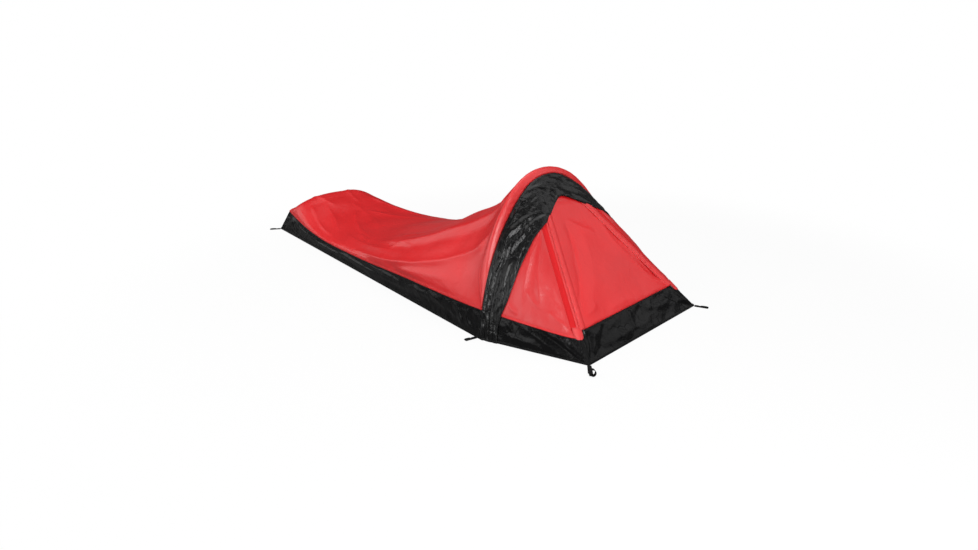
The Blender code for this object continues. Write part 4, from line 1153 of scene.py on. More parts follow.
@dataclass
class Tub:
    """The black groundsheet and the walls round it, with the tape that binds its foot.

    Attributes:
        off_ground: How high the walls' lower edges lie.
        sheets: The sheets that seams are laid along.
    """

    off_ground: float = 0.0006
    sheets: dict[str, Sheet] = field(default_factory=dict)

    def long_wall(self, side: Side) -> Sheet:
        """Cut and crease a long wall, from the foot corner to the hoop."""
        sign = float(side.value)
        along, level = shares((0.0, 1.0, 340), (0.0, 1.0, 24))
        top = FORM.wall_top(along, sign)
        bottom_x = FORM.foot_x * (1.0 - along)
        bottom = np.stack([bottom_x, sign * FORM.floor_half(bottom_x),
                           np.full_like(along, self.off_ground)], axis=-1)
        grid = bottom + (top - bottom) * level[..., None]
        belly = FORM.seam.half_width_at(grid[-1, :, 2]) - np.abs(grid[-1, :, 1])
        grid[..., 1] += sign * belly[None, :] * along ** 6
        sheet = Sheet(f"long_wall_{side.word}", grid, (0.0, sign, 0.0))
        length, width = 1.8, 0.10
        u, v = along * length, level * width
        lift = folded(
            u, v, length, width,
            Fold(((0.06, 0.75), (0.20, 0.55), (0.36, 0.50), (0.50, 0.62)), 0.0035, 0.013, 0.016),
            Fold(((0.34, 0.72), (0.50, 0.55), (0.66, 0.48), (0.82, 0.62)), 0.0045, 0.012, 0.018),
            Fold(((0.46, 0.85), (0.62, 0.70), (0.78, 0.68), (0.93, 0.80)), 0.0040, 0.010, 0.014),
            Fold(((0.60, 0.35), (0.74, 0.30), (0.90, 0.42)), -0.0030, 0.014, 0.014),
            Fold(((0.80, 0.90), (0.88, 0.50), (0.97, 0.35)), 0.0045, 0.012, 0.010),
            Fold(((0.90, 0.92), (0.935, 0.45), (0.93, 0.15)), 0.0040, 0.010, 0.012),
            Fold(((0.965, 0.90), (0.955, 0.50), (0.985, 0.15)), 0.0035, 0.008, 0.010),
            Fold(((0.02, 0.30), (0.05, 0.65), (0.03, 0.95)), 0.0035, 0.014, 0.014),
        )
        near_hoop = smooth_step(along, 0.5, 0.9)
        lift = lift + Crumple(0.026, 4.5, 4.0 * sign, 0.0042, 11 + side.value, 3.6).lift(u, v)
        small = Crumple(0.016, 2.0, -30.0, 0.0024, 21 + side.value, 4.0).lift(u, v)
        lift = lift + small * near_hoop
        sheet.raise_by(lift * sheet.inside(0.012, 0.020))
        return sheet

    def foot_wall(self) -> Sheet:
        """Cut and crease the wall at the foot."""
        level, side = shares((0.0, 1.0, 24), (-1.0, 1.0, 96))
        corner = FORM.wall_top(np.array([0.0]), 1.0)[0]
        rise = FORM.foot_top_rise * np.abs(np.cos(side * math.pi / 2)) ** (2.0 / FORM.roundness[0])
        top = np.stack([np.full_like(side, corner[0]), side * corner[1], corner[2] + rise], axis=-1)
        bottom = np.stack([np.full_like(side, FORM.foot_x), side * FORM.foot_half,
                           np.full_like(side, self.off_ground)], axis=-1)
        grid = bottom + (top - bottom) * level[..., None]
        sheet = Sheet("foot_wall_cloth", grid, (-1.0, 0.0, 0.0))
        length, width = 0.12, 0.27
        u, v = level * length, side * width
        lift = Crumple(0.022, 2.4, 70.0, 0.0040, 31, 3.6).lift(u, v)
        lift = lift + folded(
            u, v, length, width,
            Fold(((0.15, -0.75), (0.55, -0.40), (0.92, -0.30)), 0.004, 0.016, 0.016),
            Fold(((0.12, 0.80), (0.50, 0.45), (0.90, 0.20)), 0.004, 0.016, 0.014),
            Fold(((0.30, -0.20), (0.55, 0.05), (0.50, 0.35)), 0.003, 0.018, 0.018))
        sheet.raise_by(lift * sheet.inside(0.016, 0.016))
        return sheet

    def side_wall(self, side: Side) -> Sheet:
        """Cut and crease the short wall between the hoop and the head corner."""
        sign = float(side.value)
        along, level = shares((0.0, 1.0, 90), (0.006, 1.0, 26))
        grid = FORM.beside_head(level * FORM.side_wall_z(along), along, sign)
        sheet = Sheet(f"side_wall_{side.word}", grid, (0.0, sign, 0.0))
        length, width = 0.45, 0.10
        u, v = along * length, level * width
        lift = folded(
            u, v, length, width,
            Fold(((0.56, 0.95), (0.72, 0.70), (0.84, 0.42), (0.95, 0.14)),
                 -0.0055, 0.016, 0.012, 1.2),
            Fold(((0.40, 0.92), (0.60, 0.60), (0.80, 0.22)), 0.0035, 0.016, 0.014),
            Fold(((0.78, 0.95), (0.86, 0.60), (0.965, 0.20)), 0.0045, 0.010, 0.010, 1.2),
            Fold(((0.90, 0.96), (0.935, 0.60), (0.985, 0.25)), -0.0035, 0.008, 0.008, 1.2),
            Fold(((0.22, 0.30), (0.45, 0.34), (0.70, 0.16)), 0.0030, 0.014, 0.014),
            Fold(((0.28, 0.90), (0.34, 0.55), (0.30, 0.20)), 0.0028, 0.014, 0.014))
        lift = lift + Crumple(0.022, 2.6, -24.0, 0.0034, 41 + side.value, 3.8).lift(u, v)
        lift = lift * sheet.inside(0.010, 0.010)
        sheet.raise_by(FORM.under_flap(lift, grid, 0.007, 0.024))
        return sheet

    def end_wall(self) -> Sheet:
        """Cut and crease the sloping wall below the door."""
        top = float(FORM.up_slope(FORM.end_wall_height))
        up, side = shares((0.0012, top, 26), (-1.0, 1.0, 130))
        sheet = Sheet("end_wall_cloth", FORM.front(up, side * FORM.ridge_y(up)), FORM.front_out)
        length, width = 0.123, 0.35
        u, v = up, side * width
        lift = folded(
            u, v, length, width,
            Fold(((0.95, -0.93), (0.55, -0.93), (0.15, -0.985)), 0.0050, 0.010, 0.009, 1.2),
            Fold(((0.95, -0.86), (0.50, -0.89), (0.12, -0.965)), -0.0045, 0.009, 0.010, 1.2),
            Fold(((0.96, -0.76), (0.50, -0.82), (0.10, -0.94)), 0.0040, 0.012, 0.012, 1.3),
            Fold(((0.92, -0.55), (0.45, -0.70), (0.10, -0.88)), -0.0030, 0.016, 0.016),
            Fold(((0.98, -0.06), (0.60, -0.10), (0.25, -0.12)), 0.0035, 0.010, 0.016),
            Fold(((0.20, -0.60), (0.35, -0.20), (0.22, 0.25)), 0.0030, 0.018, 0.018),
            Fold(((0.75, 0.15), (0.60, 0.45), (0.70, 0.75)), 0.0035, 0.016, 0.014),
            Fold(((0.95, 0.90), (0.50, 0.93), (0.12, 0.985)), 0.0045, 0.010, 0.010, 1.2),
            Fold(((0.90, 0.70), (0.45, 0.80), (0.10, 0.94)), -0.0035, 0.012, 0.012))
        lift = lift + Crumple(0.034, 2.2, 80.0, 0.0056, 51, 3.8).lift(u, v)
        sheet.raise_by(lift * sheet.inside(0.010, 0.008))
        return sheet

    def floor(self) -> Sheet:
        """Cut the groundsheet, whose outer face is the underside."""
        inset = 0.0006
        down = np.concatenate([np.linspace(FORM.foot_x + inset, -0.004, 150),
                               np.linspace(0.0, FORM.head_x - 0.0010, 36)])
        x, side = np.meshgrid(down, np.linspace(-1.0, 1.0, 72), indexing="ij")
        y = side * (FORM.floor_half(x) - inset)
        grid = np.stack([x, y, np.full_like(x, 0.0002)], axis=-1)
        sheet = Sheet("groundsheet", grid, (0.0, 0.0, -1.0), thickness=0.0006)
        wrinkle = Crumple(0.060, 1.6, 20.0, 0.0012, 61, 3.0).lift(x, y)
        sheet.grid[..., 2] += np.maximum(wrinkle, 0.0) * sheet.inside(0.03, 0.03)
        return sheet

    def ground_binding(self) -> Sheet:
        """Cut the tape folded over the ground edge, all the way round."""
        right = [(FORM.foot_x, -FORM.foot_half), (0.0, -FORM.hoop_half),
                 (FORM.head_x, -FORM.head_half)]
        corners = right + [(x, -y) for x, y in reversed(right)]
        path, outs = [], []
        for (ax, ay), (bx, by) in zip(corners, corners[1:] + corners[:1]):
            count = max(int(math.hypot(bx - ax, by - ay) / 0.02), 2)
            for i in range(count):
                path.append((ax + (bx - ax) * i / count, ay + (by - ay) * i / count, 0.0))
                outs.append(((by - ay), -(bx - ax), 0.0))
        path = np.array(path + path[:1])
        out = smoothed(unit(np.array(outs + outs[:1], dtype=float)), 1)
        turns = np.linspace(-0.25, 1.05, 9) * math.pi / 2
        shape = [(math.cos(t) * 0.0016 - 0.0006, 0.0026 + math.sin(t) * 0.0024) for t in turns]
        shape += [(-0.0016, 0.0062), (-0.0024, 0.0092)]
        grid = np.stack([path + out * a + UPWARDS * max(b, 0.0008) for a, b in shape], axis=1)
        return Sheet("ground_binding", grid, UPWARDS, thickness=0.0005)

    def wall(self, sheet: Sheet, node: str) -> None:
        """Make a wall, and keep it for its seams."""
        sheet.sew(Finish.TUB, "root", "tub_cloth", nodes=[node])
        self.sheets[sheet.name] = sheet

    def build(self) -> None:
        """Make the tub's pieces."""
        self.wall(self.foot_wall(), "foot_wall")
        self.wall(self.end_wall(), "head_end_wall")
        self.floor().sew(Finish.GROUND, "root", "floor_cloth", held=Held.LAID,
                         nodes=["floor_panel"], folds=False)
        for side in Side:
            self.wall(self.long_wall(side), f"body_wall_{side.word}")
            self.wall(self.side_wall(side), f"head_side_wall_{side.word}")
        self.ground_binding().sew(Finish.BINDING, "root", "webbing", held=None)


@dataclass
class Body:
    """The red canopy over the body, and the sleeve that the pole runs through with its lining.

    Attributes:
        length: The canopy's length, which its folds are placed by.
        half_girth: Half its girth, likewise.
        lining_start: How high the ends of the lining lie.
        past_pole: How far off the pole the sleeve and the lining pass it.
        past_seam: How far they pass the seam.
        easing: How gently the one clearance gives way to the other.
        sheets: The sheets that seams are laid along.
    """

    length: float = 1.72
    half_girth: float = 0.47
    lining_start: float = 0.150
    past_pole: float = 0.0022
    past_seam: float = 0.0015
    easing: float = 0.004
    sheets: dict[str, Sheet] = field(default_factory=dict)

    def folds(self) -> tuple[Fold, ...]:
        """Return the canopy's main folds, from the hoop down over the hips and round the feet."""
        return (
            Fold(((1.02, -0.27), (0.93, -0.32), (0.84, -0.37), (0.75, -0.41), (0.66, -0.45),
                  (0.54, -0.47), (0.42, -0.43)), 0.022, 0.024, 0.074, 1.6, (0.12, 0.40)),
            Fold(((0.80, -0.24), (0.72, -0.30), (0.62, -0.33), (0.52, -0.32)),
                 0.006, 0.020, 0.030, 1.4),
            Fold(((1.02, -0.60), (0.93, -0.655), (0.83, -0.735), (0.72, -0.79), (0.58, -0.82),
                  (0.44, -0.76)), 0.014, 0.022, 0.028, 1.3, (0.08, 0.40)),
            Fold(((0.70, -0.52), (0.64, -0.49), (0.57, -0.50)), 0.004, 0.010, 0.012, 1.2),
            Fold(((0.66, -0.46), (0.62, -0.52), (0.60, -0.58)), 0.004, 0.009, 0.010, 1.2),
            Fold(((0.47, -0.50), (0.42, -0.42), (0.36, -0.37)), 0.006, 0.012, 0.014, 1.2),
            Fold(((0.62, -0.62), (0.50, -0.60), (0.38, -0.52), (0.30, -0.38)),
                 0.007, 0.030, 0.022, 1.3),
            Fold(((0.90, -0.86), (0.78, -0.88), (0.66, -0.90)), 0.005, 0.030, 0.020, 1.5),
            Fold(((0.178, 0.02), (0.224, -0.08), (0.293, -0.20), (0.377, -0.32), (0.481, -0.42)),
                 0.010, 0.026, 0.013, 1.1, (0.2, 0.3)),
            Fold(((0.110, -0.22), (0.17, -0.27), (0.23, -0.36), (0.281, -0.47)),
                 0.006, 0.022, 0.016, 1.2),
            Fold(((0.08, -0.42), (0.14, -0.50), (0.22, -0.60), (0.34, -0.66)),
                 0.006, 0.024, 0.016, 1.2),
            Fold(((0.12, 0.08), (0.20, 0.06), (0.30, -0.02), (0.36, -0.08)),
                 0.005, 0.030, 0.022, 1.4),
            Fold(((1.0, -0.14), (0.92, -0.10), (0.80, -0.06), (0.66, 0.00), (0.52, 0.06)),
                 0.011, 0.040, 0.034, 1.4, (0.05, 0.5)),
            Fold(((1.02, 0.24), (0.90, 0.32), (0.78, 0.40), (0.62, 0.46), (0.48, 0.42)),
                 0.014, 0.034, 0.050, 1.3, (0.10, 0.45)),
            Fold(((1.02, 0.58), (0.92, 0.63), (0.80, 0.72), (0.66, 0.80), (0.50, 0.78)),
                 0.014, 0.026, 0.046, 1.3, (0.08, 0.40)),
            Fold(((0.19, 0.10), (0.25, 0.22), (0.34, 0.36), (0.46, 0.46)),
                 0.008, 0.016, 0.030, 1.2),
            Fold(((0.09, 0.40), (0.16, 0.52), (0.26, 0.62), (0.36, 0.66)),
                 0.006, 0.016, 0.024, 1.2),
            Fold(((0.02, -0.30), (0.08, -0.18), (0.14, -0.12)), 0.004, 0.016, 0.016, 1.3),
            Fold(((0.02, 0.34), (0.07, 0.20), (0.15, 0.16)), 0.004, 0.016, 0.016, 1.3),
        )

    def canopy(self) -> Sheet:
        """Cut and fold the canopy, from the foot wall to the back of the sleeve."""
        spread = np.linspace(0.0, 1.0, 250)
        run = spread - 0.045 * np.sin(2.0 * math.pi * spread)
        along, side = np.meshgrid(run, np.linspace(-1.0, 1.0, 150), indexing="ij")
        sheet = Sheet("canopy", FORM.canopy(along, side), UPWARDS)
        u, v = along * self.length, side * self.half_girth
        lift = folded(u, v, self.length, self.half_girth, *self.folds())
        calm = 0.35 + 0.65 * smooth_step(drift(u, v, 0.28, 71), -0.5, 0.6)
        near_edges = 1.0 - smooth_step(np.minimum(sheet.rim_u, sheet.rim_v), 0.0, 0.09)
        broad = Crumple(0.055, 2.4, -12.0, 0.0022, 72, 3.0).lift(u, v) * calm
        small = Crumple(0.026, 1.9, 24.0, 0.0010, 73, 3.5).lift(u, v) * (0.4 * calm + near_edges)
        lift = lift + broad + small + 0.003 * drift(u, v, 0.11, 74) * calm
        sheet.raise_by(lift * sheet.inside(0.045, 0.030))
        gathers = np.sin(u * math.tau / 0.017 + 3.0 * drift(u, v, 0.05, 75))
        gathers = gathers * np.exp(-sheet.rim_v / 0.010)
        sheet.raise_by(0.0005 * gathers * smooth_step(sheet.rim_v, 0.0, 0.004))
        return sheet

    def beside_pole(self, rows: int, columns: int, start: float, away: float) -> Grid:
        """Bow a strip past the pole, from one row of stitching beside it to the other.

        Args:
            rows: How many places it has along the hoop.
            columns: How many it has across.
            start: The height of its two ends.
            away: 1 to pass outside the pole and the seam, and -1 to pass inside them.

        Returns:
            Its places.
        """
        front = FORM.seam.points(rows, start)
        front_edge = FORM.on_seam(*front.T)
        rear_edge = front_edge.copy()
        rear_edge[:, 0] -= FORM.sleeve_at(front[:, 1])
        pole = FORM.pole.points(rows, start - FORM.pole_low)
        way = unit(np.gradient(pole, axis=0))
        out = np.stack([-way[:, 1], way[:, 0]], axis=1) * away
        past = pole + out * (FORM.pole_radius + self.past_pole)
        past[:, 1] += FORM.pole_low
        short = np.sum((front - past) * out, axis=1) + self.past_seam
        past = past + out * ((short + np.sqrt(short ** 2 + self.easing ** 2)) / 2)[:, None]
        middle = (front_edge + rear_edge) / 2
        pull = 2.0 * np.stack([middle[:, 0], *past.T], axis=-1) - middle
        share = np.linspace(0.0, 1.0, columns)[None, :, None]
        return bowed(rear_edge, pull, front_edge, share)

    def lining(self) -> Sheet:
        """Cut the strip inside the pole, which joins the canopy to the head end."""
        grid = self.beside_pole(240, 12, self.lining_start, -1.0)
        sheet = Sheet("sleeve_lining", grid, UPWARDS)
        sheet.raise_by(np.full(sheet.u.shape, -0.0006))
        return sheet

    def sleeve(self) -> Sheet:
        """Cut the sleeve, which bulges over the pole between its two rows of stitching."""
        grid = self.beside_pole(320, 22, FORM.sleeve_start * 0.72, 1.0)
        sheet = Sheet("pole_sleeve", grid, UPWARDS)
        u, v = sheet.u, sheet.v
        lift = Crumple(0.020, 1.3, 72.0, 0.0010, 81, 3.0).lift(u, v)
        lift = lift + (0.0007 * np.sin(u * math.tau / 0.013 + 4.0 * drift(u, v, 0.04, 82))
                       * np.exp(-v / 0.012))
        lift = lift - 0.0012 * np.exp(-(v / 0.006) ** 2)
        sheet.raise_by(lift * smooth_step(sheet.rim_v, 0.0, 0.004))
        return sheet

    def build(self) -> None:
        """Make the canopy, the sleeve and its lining."""
        canopy, sleeve = self.canopy(), self.sleeve()
        canopy.sew(Finish.CANOPY, "root", "red_cloth", nodes=["body_canopy"])
        sleeve.sew(Finish.SLEEVE, "hoop", "red_cloth", nodes=["hoop_sleeve"], folds=False,
                   rests_on=["pole_section_2", "pole_section_3"])
        self.lining().sew(Finish.CANOPY, "root", "red_cloth")
        self.sheets = {"canopy": canopy, "sleeve": sleeve}


@dataclass
class StormFlap:
    """The black flap sewn along the front of the hoop and down to the ground on both sides.

    Attributes:
        start: How far in front of the seam it starts.
        clearance: How far it keeps off the cloth under it.
        stations: How many places of the hoop it is drawn from.
        columns: How many places it has along the hoop.
        rows: How many it has across.
    """

    start: float = 0.0006
    clearance: float = 0.0060
    stations: int = 45
    columns: int = 420
    rows: int = 44

    def surface(self) -> Grid:
        """Return the flap's smooth face, as the frame has it."""
        arch = FORM.seam.points(self.stations)
        seam = FORM.on_seam(*arch.T)
        spread = np.clip(arch[:, 0] / FORM.flap_fan, -1.0, 1.0)
        spread = 0.5 * spread * (3.0 - spread ** 2)
        target = np.stack([np.full_like(spread, FORM.head_x), spread * FORM.head_half,
                           np.zeros_like(spread)], axis=-1)
        way = unit(target - seam)
        from_top = np.abs(np.linspace(-1.0, 1.0, self.stations))
        width = smooth_curve(FORM.flap_widths, 1.0 - from_top)
        across = np.linspace(0.0, 1.0, 9)[:, None, None]
        grid = seam[None] + way[None] * (self.start + (width[None, :, None] - self.start) * across)
        grid[..., 0] = np.maximum(grid[..., 0], FORM.head_cloth_x(grid[..., 1], grid[..., 2]))
        fine = resampled(grid, self.rows, self.columns)
        normals = grid_normals(fine)
        forward = normals[..., 0] + normals[..., 2] + np.sign(fine[..., 1]) * normals[..., 1]
        normals = normals * np.sign(forward)[..., None]
        rows = np.linspace(0.0, 1.0, self.rows)[:, None, None]
        lift = (FORM.flap_lift + FORM.cloth) * smooth_step(rows, -0.02, 0.14)
        return fine + normals * lift

    def sheet(self) -> Sheet:
        """Cut and crumple the flap."""
        sheet = Sheet("storm_flap_cloth", self.surface(), (1.0, 0.0, 0.7))
        share = sheet.v / sheet.v[:, -1:]
        u, v = share * 1.47, sheet.u
        legs = smooth_step(np.abs(share - 0.5), 0.16, 0.34)
        broad = Crumple(0.026, 3.6, 22.0, 0.0068, 91, 3.8).lift(u, v) * (1.0 - 0.45 * legs)
        crossing = Crumple(0.019, 2.8, -27.0, 0.0034, 92, 3.8).lift(u, v) * (1.0 - 0.6 * legs)
        lengthways = Crumple(0.012, 12.0, 3.0, 0.0078, 95, 3.6).lift(u, v) * (0.15 + 0.85 * legs)
        lift = broad + crossing + lengthways + 0.0020 + 0.0020 * drift(u, v, 0.060, 94)
        groove = np.exp(-((v - 0.020) / 0.0036) ** 2)
        lift = lift - 0.0040 * groove * (0.25 + 0.75 * legs)
        near_ends = 0.35 + 0.65 * smooth_step(sheet.rim_v, 0.0, 0.01)
        fade = smooth_step(sheet.rim_u, 0.0, 0.010) * near_ends
        sheet.raise_by(np.maximum(lift, -0.0026) * fade)
        clear = FORM.head_cloth_x(sheet.grid[..., 1], sheet.grid[..., 2]) + self.clearance
        beyond_seam = smooth_step(sheet.u, 0.0, 0.012)
        sheet.grid[..., 0] += beyond_seam * np.maximum(clear - sheet.grid[..., 0], 0.0)
        sheet.grid[..., 2] = np.maximum(sheet.grid[..., 2], 0.0014)
        return sheet

    def build(self) -> None:
        """Make the flap."""
        self.sheet().sew(Finish.FLAP, "root", "flap_cloth", held=Held.GATHERED,
                         nodes=["storm_flap"])


@dataclass
class HeadEnd:
    """The red cloth round the door: gussets, strips along the ridges and corner tongues.

    Attributes:
        tongue_drop: How far down the slope a tongue starts from the end wall's top.
        tongue_up: How far up it ends.
        tongue_half: Half its width.
        facing_width: How wide the strip on a gusset's edge is.
        sheets: The sheets that seams are laid along.
    """

    tongue_drop: float = 0.030
    tongue_up: float = 0.018
    tongue_half: float = 0.0145
    facing_width: float = 0.026
    sheets: dict[str, Sheet] = field(default_factory=dict)

    def gusset(self, side: Side) -> Sheet:
        """Cut and crease the triangle between the hoop leg, the side wall and the ridge."""
        sign = float(side.value)
        level, along = shares((0.0, FORM.gusset_top, 96), (0.0, 1.0, 72))
        base = FORM.side_wall_z(along)
        grid = FORM.beside_head(base + level * (FORM.ridge_z - base), along, sign)
        sheet = Sheet(f"gusset_{side.word}", grid, (0.0, sign, 0.0))
        height, width = 0.62, 0.42
        u, v = level * height, along * width
        lift = folded(
            u, v, height, width,
            Fold(((0.74, 0.88), (0.61, 0.80), (0.46, 0.65), (0.28, 0.54), (0.08, 0.46)),
                 0.0060, 0.022, 0.016, 1.3),
            Fold(((0.70, 0.93), (0.59, 0.87), (0.42, 0.76), (0.23, 0.72), (0.09, 0.68)),
                 0.0055, 0.020, 0.016, 1.3),
            Fold(((0.78, 0.80), (0.60, 0.62), (0.40, 0.42), (0.20, 0.30), (0.06, 0.26)),
                 0.0040, 0.024, 0.018, 1.3),
            Fold(((0.12, 0.30), (0.07, 0.37), (0.05, 0.43)), 0.0035, 0.012, 0.009, 1.2),
            Fold(((0.24, 0.57), (0.17, 0.64), (0.13, 0.70)), 0.0035, 0.011, 0.009, 1.2),
            Fold(((0.13, 0.79), (0.08, 0.86), (0.04, 0.94)), 0.0035, 0.011, 0.009, 1.2),
            Fold(((0.30, 0.82), (0.22, 0.88), (0.16, 0.93)), -0.0025, 0.010, 0.010, 1.2))
        lift = lift + Crumple(0.040, 3.0, 14.0, 0.0014, 101 + side.value, 3.0).lift(u, v)
        low = 1.0 - smooth_step(level, 0.0, 0.28)
        lift = lift + Crumple(0.020, 1.6, 50.0, 0.0012, 111 + side.value, 3.5).lift(u, v) * low
        to_ridge = sheet.v[:, -1:] - sheet.v
        hollow = 0.012
        slope = np.where(to_ridge > hollow, 0.022, 0.007)
        band = np.exp(-((to_ridge - hollow) / slope) ** 2)
        band = band * (1.0 - 0.6 * smooth_step(level, 0.50, 0.90))
        lift = np.maximum(lift, -0.003) * sheet.inside(0.010, 0.012)
        lift = lift - 0.0060 * band * smooth_step(sheet.rim_u, 0.0, 0.04)
        sheet.raise_by(FORM.under_flap(lift, grid, 0.008, 0.026))
        return sheet

    def facing(self, gusset: Sheet, side: Side) -> Sheet:
        """Cut the strip sewn over a gusset's edge beside the ridge.

        Args:
            gusset: The gusset that it lies on.
            side: Which side.

        Returns:
            The strip.
        """
        # The strip's darker red is partly the doubled cloth's own tone and partly painted shade
        # along the ridge.
        rows = slice(4, None)
        runs = gusset.v[rows]
        off = np.minimum(self.facing_width, 0.8 * runs[:, -1:]) * np.linspace(1.0, 0.0, 9) + 0.0014
        grid = np.zeros((*off.shape, 3))
        for i, (run, places, outs) in enumerate(zip(runs, gusset.grid[rows], gusset.normals[rows])):
            at = run[-1] - off[i]
            for axis in range(3):
                out = np.interp(at, run, outs[:, axis])
                grid[i, :, axis] = np.interp(at, run, places[:, axis]) + 0.0009 * out
        return Sheet(f"ridge_facing_{side.word}", grid, (0.0, float(side.value), 0.0))

    def ridge_strip(self, side: Side) -> Sheet:
        """Cut the strip between a ridge and its zip."""
        sign = float(side.value)
        low = float(FORM.up_slope(FORM.end_wall_height))
        top = float(FORM.up_slope(FORM.ridge_z)) - FORM.door_mouth + 0.030
        up, across = shares((low, top, 110), (0.0, 1.0, 8))
        inner = FORM.ridge_y(up) - FORM.zip_inset + 0.0048
        y = sign * (inner + (FORM.ridge_y(up) - inner) * across)
        sheet = Sheet(f"ridge_strip_{side.word}", FORM.front(up, y), FORM.front_out)
        ripple = 0.0005 * np.sin(up * math.tau / 0.021 + 3.0 * drift(up, across * 0.02, 0.05, 121))
        sheet.raise_by(ripple * smooth_step(sheet.rim_v, 0.0, 0.004))
        return sheet

    def tongue(self, side: Side) -> Sheet:
        """Cut the rounded tongue folded over the foot of a ridge."""
        sign = float(side.value)
        start = float(FORM.up_slope(FORM.end_wall_height))
        rows, columns = 30, 25
        up = np.linspace(start - self.tongue_drop, start + self.tongue_up, rows)
        share = np.clip((up - up[0]) / self.tongue_half, 0.0, 1.0)
        half = self.tongue_half * (0.10 + 0.90 * np.sqrt(1.0 - (1.0 - share) ** 2))
        grid = np.zeros((rows, columns, 3))
        for i, place in enumerate(up):
            ridge = FORM.front(place, sign * float(FORM.ridge_y(place)))
            reach = np.hypot(ridge[0], FORM.hoop_half - abs(ridge[1]))
            for j, step in enumerate(np.linspace(-1.0, 1.0, columns)):
                off = abs(step) * half[i]
                if step <= 0.0:
                    grid[i, j] = FORM.front(place, sign * (float(FORM.ridge_y(place)) - off))
                else:
                    grid[i, j] = FORM.beside_head(ridge[2], 1.0 - off / reach, sign)
        outward = (0.6, 0.6 * sign, 0.5)
        normals = grid_normals(grid)
        normals = normals * np.sign(normals @ outward)[..., None]
        sheet = Sheet(f"tongue_{side.word}", grid + normals * 0.0022, outward, thickness=0.0010)
        sheet.raise_by(Crumple(0.010, 1.6, 10.0, 0.0006, 131, 3.0).lift(sheet.u, sheet.v))
        return sheet

    def build(self) -> None:
        """Make the red pieces of the head end."""
        for side in Side:
            for sheet, finish, node in (
                    # The gussets take the darker, painted-shade copy of the canopy's red.
                    (self.gusset(side), Finish.GUSSET, "head_gusset"),
                    (self.ridge_strip(side), Finish.SLEEVE, "ridge_welt"),
                    (self.tongue(side), Finish.SLEEVE, "corner_tongue")):
                sheet.sew(finish, "root", "red_cloth", nodes=[f"{node}_{side.word}"])
                self.sheets[sheet.name] = sheet
            facing = self.facing(self.sheets[f"gusset_{side.word}"], side)
            # Sewn in a darker red: painted shade along the ridge over the doubled cloth's own tone.
            facing.sew(Finish.FACING, "root", "red_cloth")


class CoilRow(Enum):
    """A zip's two rows of coil: on the ridge strip, and on the door from above its corner."""

    RIDGE = ("root", "zip_coil_body", 1.0, 0.0)
    DOOR = ("door", "zip_coil_door", -1.0, 0.016)

    def __init__(self, body: str, node: str, away: float, start: float) -> None:
        """Keep a row's body, its nodes' name, its side of the zip and how far up it starts."""
        self.body, self.node, self.away, self.start = body, node, away, start


